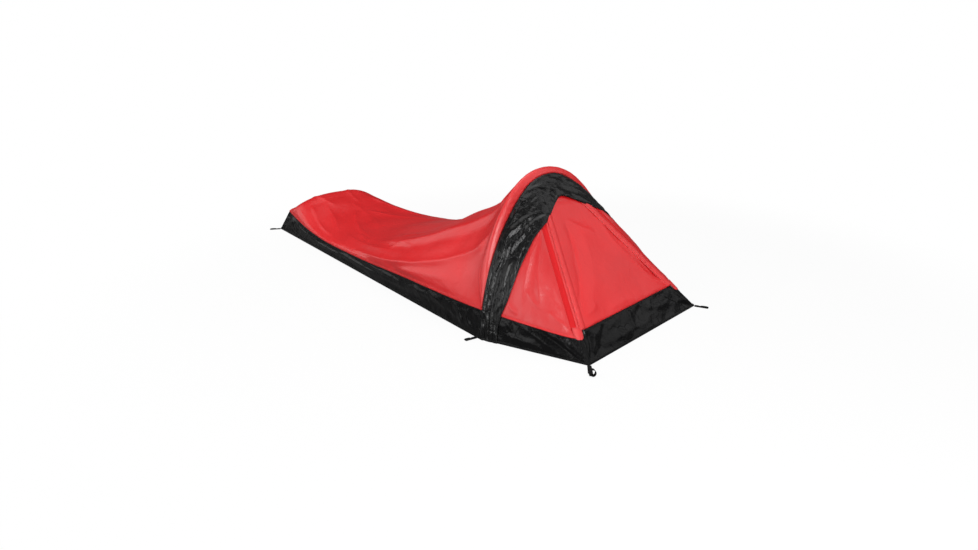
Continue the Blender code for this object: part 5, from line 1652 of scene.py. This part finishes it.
@dataclass
class Door:
    """The door: its panel, the flaps that cover its zips, and the zips with their sliders.

    Attributes:
        slot: The gap between a zip's two rows of coil.
        coil: How wide a row of coil is.
        tuck: How far the door's top goes up under the storm flap.
        pitch: How far apart a coil's loops lie.
        travel: How far a slider runs.
    """

    slot: float = 0.0014
    coil: float = 0.0026
    tuck: float = 0.030
    pitch: float = 0.0021
    travel: float = 0.46

    def __post_init__(self) -> None:
        """Work out where the zips run."""
        self.low = float(FORM.up_slope(FORM.end_wall_height))
        self.top = float(FORM.up_slope(FORM.ridge_z)) - FORM.door_mouth
        self.zip_low = self.low + 0.004
        self.zip_top = self.top - 0.012
        way = self.zip_place(self.zip_top, Side.LEFT) - self.zip_place(self.zip_low, Side.LEFT)
        self.zip_length = float(np.linalg.norm(way))
        self.lean = math.atan2(-way[1], float(way @ FORM.front_up))

    def zip_y(self, up: Grid) -> Grid:
        """Return how far out a zip's middle lies at a place up the slope."""
        return FORM.ridge_y(up) - FORM.zip_inset

    def zip_place(self, up: float, side: Side, out: float = 0.0) -> Grid:
        """Return a place on a zip's middle line."""
        return FORM.front(up, side.value * float(self.zip_y(up)), out)

    def zip_frame(self, up: float, side: Side) -> Matrix:
        """Return a zip's own axes: X up along it, Y out to the ridge and Z off the cloth."""
        way = self.zip_place(self.zip_top, side) - self.zip_place(self.zip_low, side)
        x_axis = Vector(way).normalized()
        z_axis = Vector(FORM.front_out)
        frame = Matrix.Identity(4)
        frame.col[0][:3] = x_axis
        frame.col[1][:3] = z_axis.cross(x_axis) * side.value
        frame.col[2][:3] = z_axis
        frame.col[3][:3] = Vector(self.zip_place(up, side, -FORM.cloth / 2))
        return frame

    def panel(self) -> Sheet:
        """Cut and crease the door."""
        edge = (self.slot / 2 + self.coil + 0.0003) / math.cos(self.lean)
        up, side = shares((self.low + 0.0004, self.top + self.tuck, 100), (-1.0, 1.0, 110))
        y = side * (self.zip_y(up) - edge)
        sheet = Sheet("door_cloth", FORM.front(up, y), FORM.front_out)
        u, v = up - self.low, y
        lift = folded(
            u, v, 1.0, 1.0,
            Fold(((0.010, -0.30), (0.165, -0.175), (0.334, -0.083), (0.43, -0.055)),
                 -0.0060, 0.016, 0.022, 1.1, (0.15, 0.35)),
            Fold(((0.02, -0.27), (0.15, -0.10), (0.30, -0.02), (0.42, 0.00)),
                 0.0035, 0.040, 0.040, 1.5),
            Fold(((0.06, 0.223), (0.125, 0.199), (0.281, 0.142), (0.424, 0.150)),
                 0.0040, 0.022, 0.014, 1.2),
            Fold(((0.005, 0.290), (0.040, 0.250), (0.085, 0.155)),
                 0.0040, 0.012, 0.010, 1.2, (0.1, 0.5)),
            Fold(((0.010, 0.310), (0.090, 0.240), (0.150, 0.205)),
                 -0.0030, 0.012, 0.010, 1.2, (0.1, 0.5)),
            Fold(((0.045, -0.250), (0.050, -0.200), (0.075, -0.150)), 0.0030, 0.012, 0.010, 1.2),
            Fold(((0.020, -0.120), (0.030, -0.020), (0.022, 0.080)), 0.0025, 0.018, 0.014, 1.3),
            Fold(((0.43, -0.05), (0.37, 0.02), (0.33, 0.08)), 0.0025, 0.016, 0.014, 1.3))
        lift = lift + Crumple(0.060, 2.6, 8.0, 0.0016, 141, 2.6).lift(u, v)
        near = 1.0 - smooth_step(np.minimum(sheet.rim_u, sheet.rim_v), 0.0, 0.06)
        lift = lift + Crumple(0.024, 1.7, 40.0, 0.0009, 142, 3.4).lift(u, v) * near
        lift = lift + 0.0025 * drift(u, v, 0.10, 143)
        below_flap = 1.0 - 0.85 * smooth_step(up, self.top - 0.03, self.top)
        sheet.raise_by(np.clip(lift, -0.004, 0.008) * sheet.inside(0.012, 0.014) * below_flap)
        return sheet

    def zip_cover(self, side: Side) -> Sheet:
        """Cut the flap sewn on the door that lies over a zip, its free edge by the ridge."""
        up, across = shares((self.low + 0.0015, self.top + 0.020, 130), (0.0, 1.0, 16))
        sewn, free = 0.040, 0.0045
        y = side.value * (FORM.ridge_y(up) - (sewn + (free - sewn) * across))
        run_top = self.zip_low + self.travel * math.cos(self.lean) + 0.016
        over_slider = 1.0 - smooth_step(up, run_top, self.top - 0.012)
        rise = 0.0012 + 0.0056 * over_slider
        hump = np.sin(math.pi * across ** 1.15) ** (1.0 - 0.45 * over_slider)
        out = 0.0006 + rise * hump
        sheet = Sheet(f"zip_cover_{side.word}", FORM.front(up, y, out), FORM.front_out,
                      thickness=0.0008)
        wander = 4.0 * drift(up, across * 0.03, 0.06, 151 + side.value)
        ripple = 0.0006 * np.sin(up * math.tau / 0.034 + wander)
        sheet.raise_by(ripple * across)
        return sheet

    def coil_row(self, side: Side, row: CoilRow) -> bpy.types.Object:
        """Model one loop of a coil and repeat it along its zip."""
        bpy.ops.object.select_all(action="DESELECT")
        bpy.ops.mesh.primitive_torus_add(major_segments=10, minor_segments=5, major_radius=0.00105,
                                         minor_radius=0.00033)
        loop = bpy.context.active_object
        bpy.ops.object.mode_set(mode="EDIT")
        bpy.ops.mesh.select_all(action="SELECT")
        bpy.ops.transform.resize(value=(1.25, 0.80, 1.0))
        for axis in ("X", "Z"):
            bpy.ops.transform.rotate(value=math.radians(84), orient_axis=axis,
                                     center_override=(0, 0, 0))
        bpy.ops.object.mode_set(mode="OBJECT")
        array = loop.modifiers.new("Along", "ARRAY")
        array.use_relative_offset = False
        array.use_constant_offset = True
        array.constant_offset_displace = (self.pitch, 0.0, 0.0)
        array.count = int((self.zip_length - row.start) / self.pitch)
        bpy.ops.object.modifier_apply(modifier=array.name)
        off = row.away * (self.slot / 2 + self.coil / 2)
        shift = Matrix.Translation((row.start + 0.001, off, 0.0))
        loop.data.transform(self.zip_frame(self.zip_low, side) @ shift)
        if side is Side.RIGHT:
            loop.data.flip_normals()
        loop.data.shade_smooth()
        loop.name = f"zip_coil_{row.name.lower()}_{side.word}_teeth"
        loop.data.materials.append(material_of(Finish.COIL))
        return loop

    def zip_tape(self, side: Side, row: CoilRow) -> Sheet:
        """Cut the tape that carries a row of coil, sewn behind the cloth."""
        run, off = shares((row.start, self.zip_length, 90),
                          (self.slot / 2 + 0.0004, self.slot / 2 + 0.0115, 5))
        local = np.stack([run, row.away * off, np.full_like(run, -0.00165)], axis=-1)
        frame = np.array(self.zip_frame(self.zip_low, side))
        grid = local @ frame[:3, :3].T + frame[:3, 3]
        name = f"zip_tape_{row.name.lower()}_{side.word}"
        return Sheet(name, grid, FORM.front_out, thickness=0.0004)

    @staticmethod
    def block(place: Sequence[float], size: Sequence[float]) -> bpy.types.Object:
        """Add a block of a size at a place."""
        bpy.ops.object.select_all(action="DESELECT")
        bpy.ops.mesh.primitive_cube_add(size=1.0, location=place, scale=size)
        bpy.ops.object.transform_apply(location=True, rotation=False, scale=True)
        return bpy.context.active_object

    def carve(self, piece: bpy.types.Object, place: Sequence[float], size: Sequence[float]) -> None:
        """Cut a block's shape out of a piece."""
        cutter = self.block(place, size)
        bpy.context.view_layer.objects.active = piece
        cut = piece.modifiers.new("Cut", "BOOLEAN")
        cut.operation = "DIFFERENCE"
        cut.solver = "EXACT"
        cut.object = cutter
        bpy.ops.object.modifier_apply(modifier=cut.name)
        bpy.data.objects.remove(cutter, do_unlink=True)

    def slider(self, side: Side) -> bpy.types.Object:
        """Model a slider: a wedge with its channel cut through, its lips and its bridge."""
        body = self.block((0.00575, 0.0, 0.0), (0.0115, 0.0090, 0.0043))
        bpy.ops.object.mode_set(mode="EDIT")
        edit = bmesh.from_edit_mesh(body.data)
        for face in edit.faces:
            face.select_set(face.normal.x > 0.9)
        bpy.ops.transform.resize(value=(1.0, 1.16, 1.0), center_override=(0.0115, 0.0, 0.0))
        bpy.ops.mesh.select_all(action="SELECT")
        bpy.ops.mesh.bevel(offset=0.0011, segments=3, profile=0.6, affect="EDGES")
        bpy.ops.object.mode_set(mode="OBJECT")
        for y in (-0.0034, 0.0034):
            self.carve(body, (0.006, y, 0.0), (0.02, 0.0060, 0.0023))
        bpy.ops.object.select_all(action="DESELECT")
        middle = (0.0051, 0.0, 0.00225)
        bpy.ops.mesh.primitive_torus_add(major_segments=24, minor_segments=8, major_radius=0.00355,
                                         minor_radius=0.00052, location=middle,
                                         rotation=(math.pi / 2, 0.0, 0.0))
        bridge = bpy.context.active_object
        bpy.ops.object.transform_apply(location=True, rotation=True, scale=True)
        bpy.ops.object.mode_set(mode="EDIT")
        bpy.ops.mesh.select_all(action="SELECT")
        bpy.ops.transform.resize(value=(1.0, 2.0, 0.95), center_override=middle)
        bpy.ops.object.mode_set(mode="OBJECT")
        frame = self.zip_frame(self.zip_low, side)
        return self.join([body, bridge], f"slider_{side.word}_cast", frame, side)

    def pull(self, side: Side) -> bpy.types.Object:
        """Model a pull tab: a rounded plate with a window, a pressed rib and bevelled edges."""
        tab = self.block((-0.0125, 0.0, 0.0), (0.0268, 0.0056, 0.0011))
        bpy.ops.object.mode_set(mode="EDIT")
        edit = bmesh.from_edit_mesh(tab.data)
        for edge in edit.edges:
            upright = abs(edge.verts[0].co.z - edge.verts[1].co.z) > 0.0005
            edge.select_set(upright and edge.verts[0].co.x < -0.02)
        bpy.ops.mesh.bevel(offset=0.0024, segments=6, affect="EDGES")
        bpy.ops.mesh.select_all(action="SELECT")
        bpy.ops.mesh.bevel(offset=0.00018, segments=2, affect="EDGES")
        bpy.ops.object.mode_set(mode="OBJECT")
        self.carve(tab, (-0.0035, 0.0, 0.0), (0.0054, 0.0032, 0.004))
        for z in (0.0009, -0.0009):
            self.carve(tab, (-0.0155, 0.0, z), (0.013, 0.0020, 0.0012))
        frame = self.zip_frame(self.zip_low, side) @ Matrix.Translation((0.0044, 0.0, 0.00375))
        return self.join([tab], f"pull_{side.word}_tab", frame, side)

    @staticmethod
    def join(parts: Sequence[bpy.types.Object], name: str, frame: Matrix,
             side: Side) -> bpy.types.Object:
        """Join parts modelled at the origin and carry them to a zip's own axes."""
        bpy.ops.object.select_all(action="DESELECT")
        for part in parts:
            part.select_set(True)
        bpy.context.view_layer.objects.active = parts[0]
        if len(parts) > 1:
            bpy.ops.object.join()
        piece = bpy.context.active_object
        piece.data.transform(frame)
        if side is Side.RIGHT:
            piece.data.flip_normals()
        piece.data.shade_smooth()
        piece.data.set_sharp_from_angle(angle=math.radians(32))
        piece.name = name
        piece.data.materials.append(material_of(Finish.ENAMEL))
        return piece

    def build(self) -> None:
        """Make the door's pieces."""
        self.panel().sew(Finish.CANOPY, "door", "red_cloth", nodes=["door_panel"])
        for side in Side:
            word = side.word
            self.zip_cover(side).sew(Finish.SLEEVE, "door", "red_cloth")
            for row in CoilRow:
                settle(self.coil_row(side, row), row.body, nodes=[f"{row.node}_{word}"])
                self.zip_tape(side, row).sew(Finish.ZIP_TAPE, row.body, "webbing")
            settle(self.slider(side), f"slider_{word}",
                   nodes=[f"zip_slider_{word}", f"zip_bail_{word}"])
            settle(self.pull(side), f"pull_{word}", nodes=[f"zip_pull_{word}"])


@dataclass(frozen=True)
class Seams:
    """The felled seams that join the panels, each a narrow strip with two rows of stitches.

    Attributes:
        width: How wide a strip is.
        rise: How far its middle stands off the cloth.
        columns: How many places it has across.
    """

    width: float = 0.0104
    rise: float = 0.0009
    columns: int = 7

    def over(self, name: str, a: tuple[Grid, Grid, Grid], b: tuple[Grid, Grid, Grid],
             finish: Finish) -> None:
        """Lay a strip over the seam between two edges.

        Args:
            name: The seam's name.
            a: The first edge, whose places the seam follows.
            b: The second edge, run the same way.
            finish: The strip's finish.
        """
        path = a[0]
        into_a, normal_a = smoothed(a[1]), smoothed(a[2])
        into_b, normal_b = (smoothed(matched(values, len(path))) for values in b[1:])
        side_a, side_b = path + into_a * (self.width / 2), path + into_b * (self.width / 2)
        across = np.linspace(-1.0, 1.0, self.columns)[None, :, None]
        share = (across + 1.0) / 2.0
        normal = unit(normal_a[:, None] * (1 - share) + normal_b[:, None] * share)
        lift = 0.25 + 0.75 * np.sqrt(np.clip(1.0 - across ** 4, 0.0, 1.0))
        corner = np.linalg.norm(path - (side_a + side_b) / 2, axis=-1)[:, None, None]
        rise = self.rise * lift + corner * 2 * share * (1 - share)
        grid = bowed(side_a, path, side_b, share) + normal * rise
        outward = np.mean(normal_a + normal_b, axis=0)
        sheet = Sheet(f"seam_{name}", grid, outward, thickness=self.rise * 0.9)
        sheet.sew(finish, "root", "tub_cloth" if finish is Finish.BINDING else "red_cloth")

    def build(self, tub: Tub, body: Body, head: HeadEnd) -> None:
        """Make the seams between the panels of the tub, the body and the head end."""
        canopy, sleeve = body.sheets["canopy"], body.sheets["sleeve"]
        foot, end = tub.sheets["foot_wall_cloth"], tub.sheets["end_wall_cloth"]
        for side in Side:
            word = side.word
            wall, side_wall = tub.sheets[f"long_wall_{word}"], tub.sheets[f"side_wall_{word}"]
            gusset, ridge = head.sheets[f"gusset_{word}"], head.sheets[f"ridge_strip_{word}"]
            column = Edge.FIRST_COLUMN if side is Side.RIGHT else Edge.LAST_COLUMN
            for name, a, edge_a, b, edge_b, finish in (
                    ("wall", canopy, column, wall, Edge.LAST_COLUMN, Finish.SEAM),
                    ("gusset", gusset, Edge.FIRST_ROW, side_wall, Edge.LAST_COLUMN, Finish.SEAM),
                    ("ridge", ridge, Edge.LAST_COLUMN, gusset, Edge.LAST_COLUMN, Finish.PIPING),
                    ("foot_corner", wall, Edge.FIRST_ROW, foot, column, Finish.BINDING),
                    ("head_corner", side_wall, Edge.LAST_ROW, end, column, Finish.BINDING)):
                self.over(f"{name}_{word}", a.edge(edge_a), b.edge(edge_b), finish)
        self.over("foot", canopy.edge(Edge.FIRST_ROW), foot.edge(Edge.LAST_ROW), Finish.SEAM)
        self.over("sleeve", canopy.edge(Edge.LAST_ROW), sleeve.edge(Edge.FIRST_COLUMN), Finish.SEAM)


class LoopPose(Enum):
    """How a peg loop happens to lie."""

    FLAT = "flat"
    UPRIGHT = "upright"


@dataclass(frozen=True)
class PegLoop:
    """A loop of webbing sewn into the ground edge, for a peg.

    Attributes:
        name: The frame's node.
        place: Where it is sewn, across the ground.
        bearing: Which way it points, in degrees.
        length: How long it is.
        pose: How it lies.
        width: How wide its tape is.
        thick: How thick its tape is.
    """

    name: str
    place: tuple[float, float]
    bearing: float
    length: float
    pose: LoopPose = LoopPose.FLAT
    width: float = 0.015
    thick: float = 0.0011

    def axes(self) -> tuple[Grid, Grid, Grid]:
        """Return where the tape leaves the hem, the way that it points and the way across it."""
        turn = math.radians(self.bearing)
        way = np.array([math.cos(turn), math.sin(turn), 0.0])
        across = np.array([-math.sin(turn), math.cos(turn), 0.0])
        return np.array([*self.place, 0.0]) + way * 0.0016, way, across

    def lying_path(self) -> tuple[Grid, Grid]:
        """Return the tape's middle out, round its eye and back, with its width's directions."""
        half = self.thick / 2
        low, top = 0.0003 + half, 0.0003 + half + self.thick + 0.0006
        tail, eye, peak = 0.016, self.length - 0.016, 0.0045
        outline = [(0.0, top), (tail * 0.5, top), (tail, top)]
        for share, height in ((0.10, 0.12), (0.20, 0.36), (0.32, 0.66), (0.45, 0.87), (0.58, 0.98),
                              (0.70, 1.0), (0.81, 0.93), (0.90, 0.78), (0.965, 0.56),
                              (0.985, 0.34), (0.96, 0.14), (0.90, 0.02)):
            over_top = share < 0.8 and height > 0.5
            z = max(top + (peak - top) * height, low) if over_top else low + (peak - low) * height
            outline.append((tail + eye * share - half, z))
        outline += [(x, low) for x in (tail + eye * 0.78, tail + eye * 0.4, tail, tail * 0.5, 0.0)]
        path = finer(np.array(outline), 90)
        root, way, across = self.axes()
        return root + path[:, :1] * way + path[:, 1:] * UPWARDS, np.tile(across, (len(path), 1))

    def upright_path(self) -> tuple[Grid, Grid]:
        """Return the path of a loop whose tail lies flat and whose eye has turned to stand up."""
        root, way, across = self.axes()
        reach, radius = self.length - 0.030, 0.0125
        middle = root + way * (reach + 0.012) + UPWARDS * (radius + 0.0035) + across * 0.004
        out = np.linspace(0.0, 1.0, 12)
        places = [root + way * reach * share + UPWARDS * (0.0030 + 0.002 * share) for share in out]
        twist = [across * math.cos(share ** 2 * 1.1) + way * math.sin(share ** 2 * 1.1)
                 for share in out]
        for angle in np.radians(-115.0 + 330.0 * np.linspace(0.0, 1.0, 30)):
            places.append(middle + across * radius * math.cos(angle) * 0.85
                          + UPWARDS * radius * math.sin(angle))
        places += [root + way * reach * share + UPWARDS * (0.0012 + 0.0015 * share)
                   - across * 0.003 * share for share in out[::-1]]
        widths = twist + [unit(way + across * 0.25)] * 30 + twist[::-1]
        path = finer(np.array(places), 120)
        for _ in range(3):
            path[1:-1] = (path[:-2] + 2 * path[1:-1] + path[2:]) / 4
        return path, unit(finer(np.array(widths), 120))

    def build(self) -> None:
        """Weave the loop: sweep the tape's section along its path."""
        path, widths = self.lying_path() if self.pose is LoopPose.FLAT else self.upright_path()
        way = unit(np.gradient(path, axis=0))
        widths = unit(widths - np.sum(widths * way, axis=-1, keepdims=True) * way)
        faces = unit(np.cross(way, widths))
        half, thin, round_off = self.width / 2, self.thick / 2, 0.0003
        lower = [(-half, -thin + round_off), (-half + round_off, -thin),
                 (half - round_off, -thin), (half, -thin + round_off)]
        section = lower + [(a, -b) for a, b in reversed(lower)]
        rings = np.stack([path + widths * a + faces * b for a, b in section], axis=1)
        rings[..., 2] = np.maximum(rings[..., 2], 0.0002)
        rows, count = rings.shape[:2]
        mesh = bpy.data.meshes.new(f"{self.name}_webbing")
        quads = [(i * count + j, i * count + (j + 1) % count, (i + 1) * count + (j + 1) % count,
                  (i + 1) * count + j) for i in range(rows - 1) for j in range(count)]
        caps = [tuple(range(count))[::-1], tuple(range((rows - 1) * count, rows * count))]
        mesh.from_pydata(rings.reshape(-1, 3).tolist(), [], quads + caps)
        run = run_along(path)
        uv = mesh.uv_layers.new(name="cloth")
        for loop in mesh.loops:
            row, column = divmod(loop.vertex_index, count)
            uv.data[loop.index].uv = (run[row], section[column][0] + half)
        edit = bmesh.new()
        edit.from_mesh(mesh)
        bmesh.ops.recalc_face_normals(edit, faces=edit.faces)
        edit.to_mesh(mesh)
        edit.free()
        mesh.shade_smooth()
        mesh.set_sharp_from_angle(angle=math.radians(50))
        mesh.materials.append(material_of(Finish.WEBBING))
        piece = bpy.data.objects.new(f"{self.name}_webbing", mesh)
        bpy.context.collection.objects.link(piece)
        settle(piece, self.name.removeprefix("peg_"), nodes=[self.name], folds=False)


PEG_LOOPS = (
    PegLoop("peg_loop_foot_right", (-1.80, -0.2775), -125.0, 0.058),
    PegLoop("peg_loop_foot_left", (-1.80, 0.2775), 125.0, 0.058),
    PegLoop("peg_loop_hoop_right", (-0.020, -0.4876), -105.0, 0.050),
    PegLoop("peg_loop_hoop_left", (-0.020, 0.4876), 105.0, 0.050),
    PegLoop("peg_loop_head_right", (0.43, -0.37), -48.0, 0.092, LoopPose.UPRIGHT),
    PegLoop("peg_loop_head_left", (0.43, 0.37), 20.0, 0.058),
)


class Pole:
    """The shock-corded hoop pole, kept from the frame, and the straps that its tips sit in."""


    def dress(self, frame: dict) -> None:
        """Give the frame's pole its finishes."""
        finishes = {"pole_section": Finish.TUBE, "pole_ferrule": Finish.FERRULE,
                    "pole_tip": Finish.TIP, "pole_shock_cord": Finish.ELASTIC}
        for name, node in frame["nodes"].items():
            for start, finish in finishes.items():
                if name.startswith(start):
                    node.data.materials.clear()
                    node.data.materials.append(material_of(finish))
                    LOG.info("%s keeps its solid, in %s", name, finish.name.lower())

    def pocket(self, side: Side) -> None:
        """Weave the strap that a pole tip sits in, folded in a U on the floor."""
        sign = float(side.value)
        thick, low, edge, top = 0.0011, 0.0012 + 0.0003 + 0.00055, 0.0009, 0.024
        half = 0.0068 + 0.00055
        outline = np.array([(-half, top), (-half, 0.014), (-half, low + 0.003),
                            (-half + edge, low + edge), (-half + 0.003, low), (0.0, low),
                            (half - 0.003, low), (half - edge, low + edge), (half, low + 0.003),
                            (half, 0.014), (half, top)])
        rise = float(FORM.pole.half_width_at(top - FORM.pole_low)) - FORM.pole.half_width
        outline[:, 0] += np.interp(outline[:, 1], (FORM.pole_low, top), (0.0, rise))
        path = finer(outline, 40)
        pole_x = -FORM.pole_behind - FORM.seam_lean * FORM.pole_low / FORM.seam.height
        x = np.tile(np.linspace(-0.0075, 0.0075, 7) + pole_x, (len(path), 1))
        y, z = (np.tile(column[:, None], (1, x.shape[1])) for column in path.T)
        grid = np.stack([x, sign * (FORM.pole.half_width + y), z], axis=-1)
        sheet = Sheet(f"pocket_{side.word}", grid, (0.0, 0.0, -1.0), thickness=thick)
        sheet.sew(Finish.WEBBING, "root", "webbing", held=None, nodes=[f"pole_pocket_{side.word}"],
                  folds=False)

    def build(self, frame: dict) -> None:
        """Dress the pole and make its pockets."""
        self.dress(frame)
        for side in Side:
            self.pocket(side)


# --------------------------------------------------------------------------- studio


@dataclass(frozen=True)
class Studio:
    """The floor, the lamps and the camera.

    Attributes:
        target: What the camera looks at.
        azimuth: The camera's bearing round the object, in degrees.
        elevation: How far it looks down, in degrees.
        distance: How far it stands from the target.
        focal: The focal length in pixels of a frame 978 pixels wide.
        focal: The focal length in pixels of the frame.
        frame_width: The frame's width in pixels.
        ambient: How strong the light from all round is.
        mirrored: How much of the white background shows in reflections.
    """

    target: tuple[float, float, float] = (-0.27, -0.16, 0.1)
    azimuth: float = 44.128
    elevation: float = 21.194
    distance: float = 3.094
    focal: float = 713.3
    frame_width: float = 978.0
    ambient: float = 0.045
    mirrored: float = 0.10

    def camera(self) -> None:
        """Set the camera up at the photograph's angle."""
        turn, rise = math.radians(self.azimuth), math.radians(self.elevation)
        back = Vector((math.sin(turn) * math.cos(rise), -math.cos(turn) * math.cos(rise),
                       math.sin(rise)))
        data = bpy.data.cameras.new("camera")
        data.sensor_width = 36.0
        data.lens = self.focal / self.frame_width * 36.0
        data.clip_end = 60.0
        camera = bpy.data.objects.new("camera", data)
        camera.location = Vector(self.target) + back * self.distance
        camera.rotation_euler = back.to_track_quat("Z", "Y").to_euler()
        bpy.context.collection.objects.link(camera)
        bpy.context.scene.camera = camera

    def lamp(self, name: str, place: Sequence[float], size: float, power: float) -> None:
        """Hang a square lamp that looks at the shelter."""
        data = bpy.data.lights.new(name, "AREA")
        data.size = size
        data.energy = power
        lamp = bpy.data.objects.new(name, data)
        lamp.location = place
        way = Vector(place) - Vector((-0.5, 0.0, 0.15))
        lamp.rotation_euler = way.to_track_quat("Z", "Y").to_euler()
        bpy.context.collection.objects.link(lamp)

    def seen(self, w: Wiring) -> bpy.types.NodeSocket:
        """Return how much of the white background a ray meets.

        Args:
            w: The wiring of the floor or the world.

        Returns:
            One for the camera and through glass, and a small share in reflections, so that the
            cloth's sheen isn't turned pale.
        """
        ray = w.add("ShaderNodeLightPath").outputs
        return w.highest(ray["Is Camera Ray"], ray["Is Transmission Ray"],
                         w.times(ray["Is Glossy Ray"], self.mirrored))

    def floor(self) -> None:
        """Lay a white floor that keeps the shelter's shadow and fades to pure white round it."""
        bpy.ops.object.select_all(action="DESELECT")
        bpy.ops.mesh.primitive_plane_add(size=80.0, location=(0.0, 0.0, 0.0))
        floor = bpy.context.active_object
        floor.name = "studio_floor"
        material, w, shader = new_material("studio_white")
        seen = self.seen(w)
        w.feed(shader.inputs["Base Color"], w.spread(seen, 0.0, 1.0, 0.16, 0.86))
        shader.inputs["Roughness"].default_value = 0.9
        shader.inputs["Specular IOR Level"].default_value = 0.1
        glow = w.add("ShaderNodeEmission", {"Strength": 1.0})
        reach = w.add("ShaderNodeVectorMath", {0: w.place()}, operation="LENGTH").outputs["Value"]
        share = w.spread(reach, 1.3, 2.3, 0.90, 1.0)
        mix = w.add("ShaderNodeMixShader", {"Fac": w.times(share, seen), 1: shader.outputs[0],
                                            2: glow.outputs[0]})
        w.feed(material.node_tree.nodes["Material Output"].inputs["Surface"], mix.outputs[0])
        floor.data.materials.append(material)

    def world(self) -> None:
        """Surround the scene with weak even light, which the camera sees as white."""
        world = bpy.data.worlds.new("studio_world")
        bpy.context.scene.world = world
        world.use_nodes = True
        w = Wiring(world.node_tree)
        background = world.node_tree.nodes["Background"]
        w.feed(background.inputs["Color"], (1.0, 1.0, 1.0, 1.0))
        w.feed(background.inputs["Strength"], w.spread(self.seen(w), 0.0, 1.0, self.ambient, 1.0))

    def build(self) -> None:
        """Set up the whole studio."""
        bpy.context.scene.view_settings.view_transform = "Standard"
        self.camera()
        self.floor()
        self.world()
        for name, place, size, power in (
                ("near_side", (-1.0, -3.6, 1.9), 2.4, 54.0),
                ("foot_side", (-3.74, -1.69, 1.83), 2.8, 36.0),
                ("by_camera", (3.2, -1.9, 2.7), 2.4, 154.0),
                ("head_end", (1.9, 2.7, 3.0), 3.2, 32.0),
                ("overhead", (-1.0, 0.6, 3.4), 3.0, 48.0)):
            self.lamp(name, place, size, power)


def main() -> None:
    """Dress the frame and set it in its studio."""
    logging.basicConfig(level=logging.INFO, format="%(message)s")
    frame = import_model()
    Studio().build()
    tub, body, head = Tub(), Body(), HeadEnd()
    for part in (tub, body, StormFlap(), head, Door()):
        part.build()
    Seams().build(tub, body, head)
    Pole().build(frame)
    for loop in PEG_LOOPS:
        loop.build()


if __name__ == "__main__":
    main()
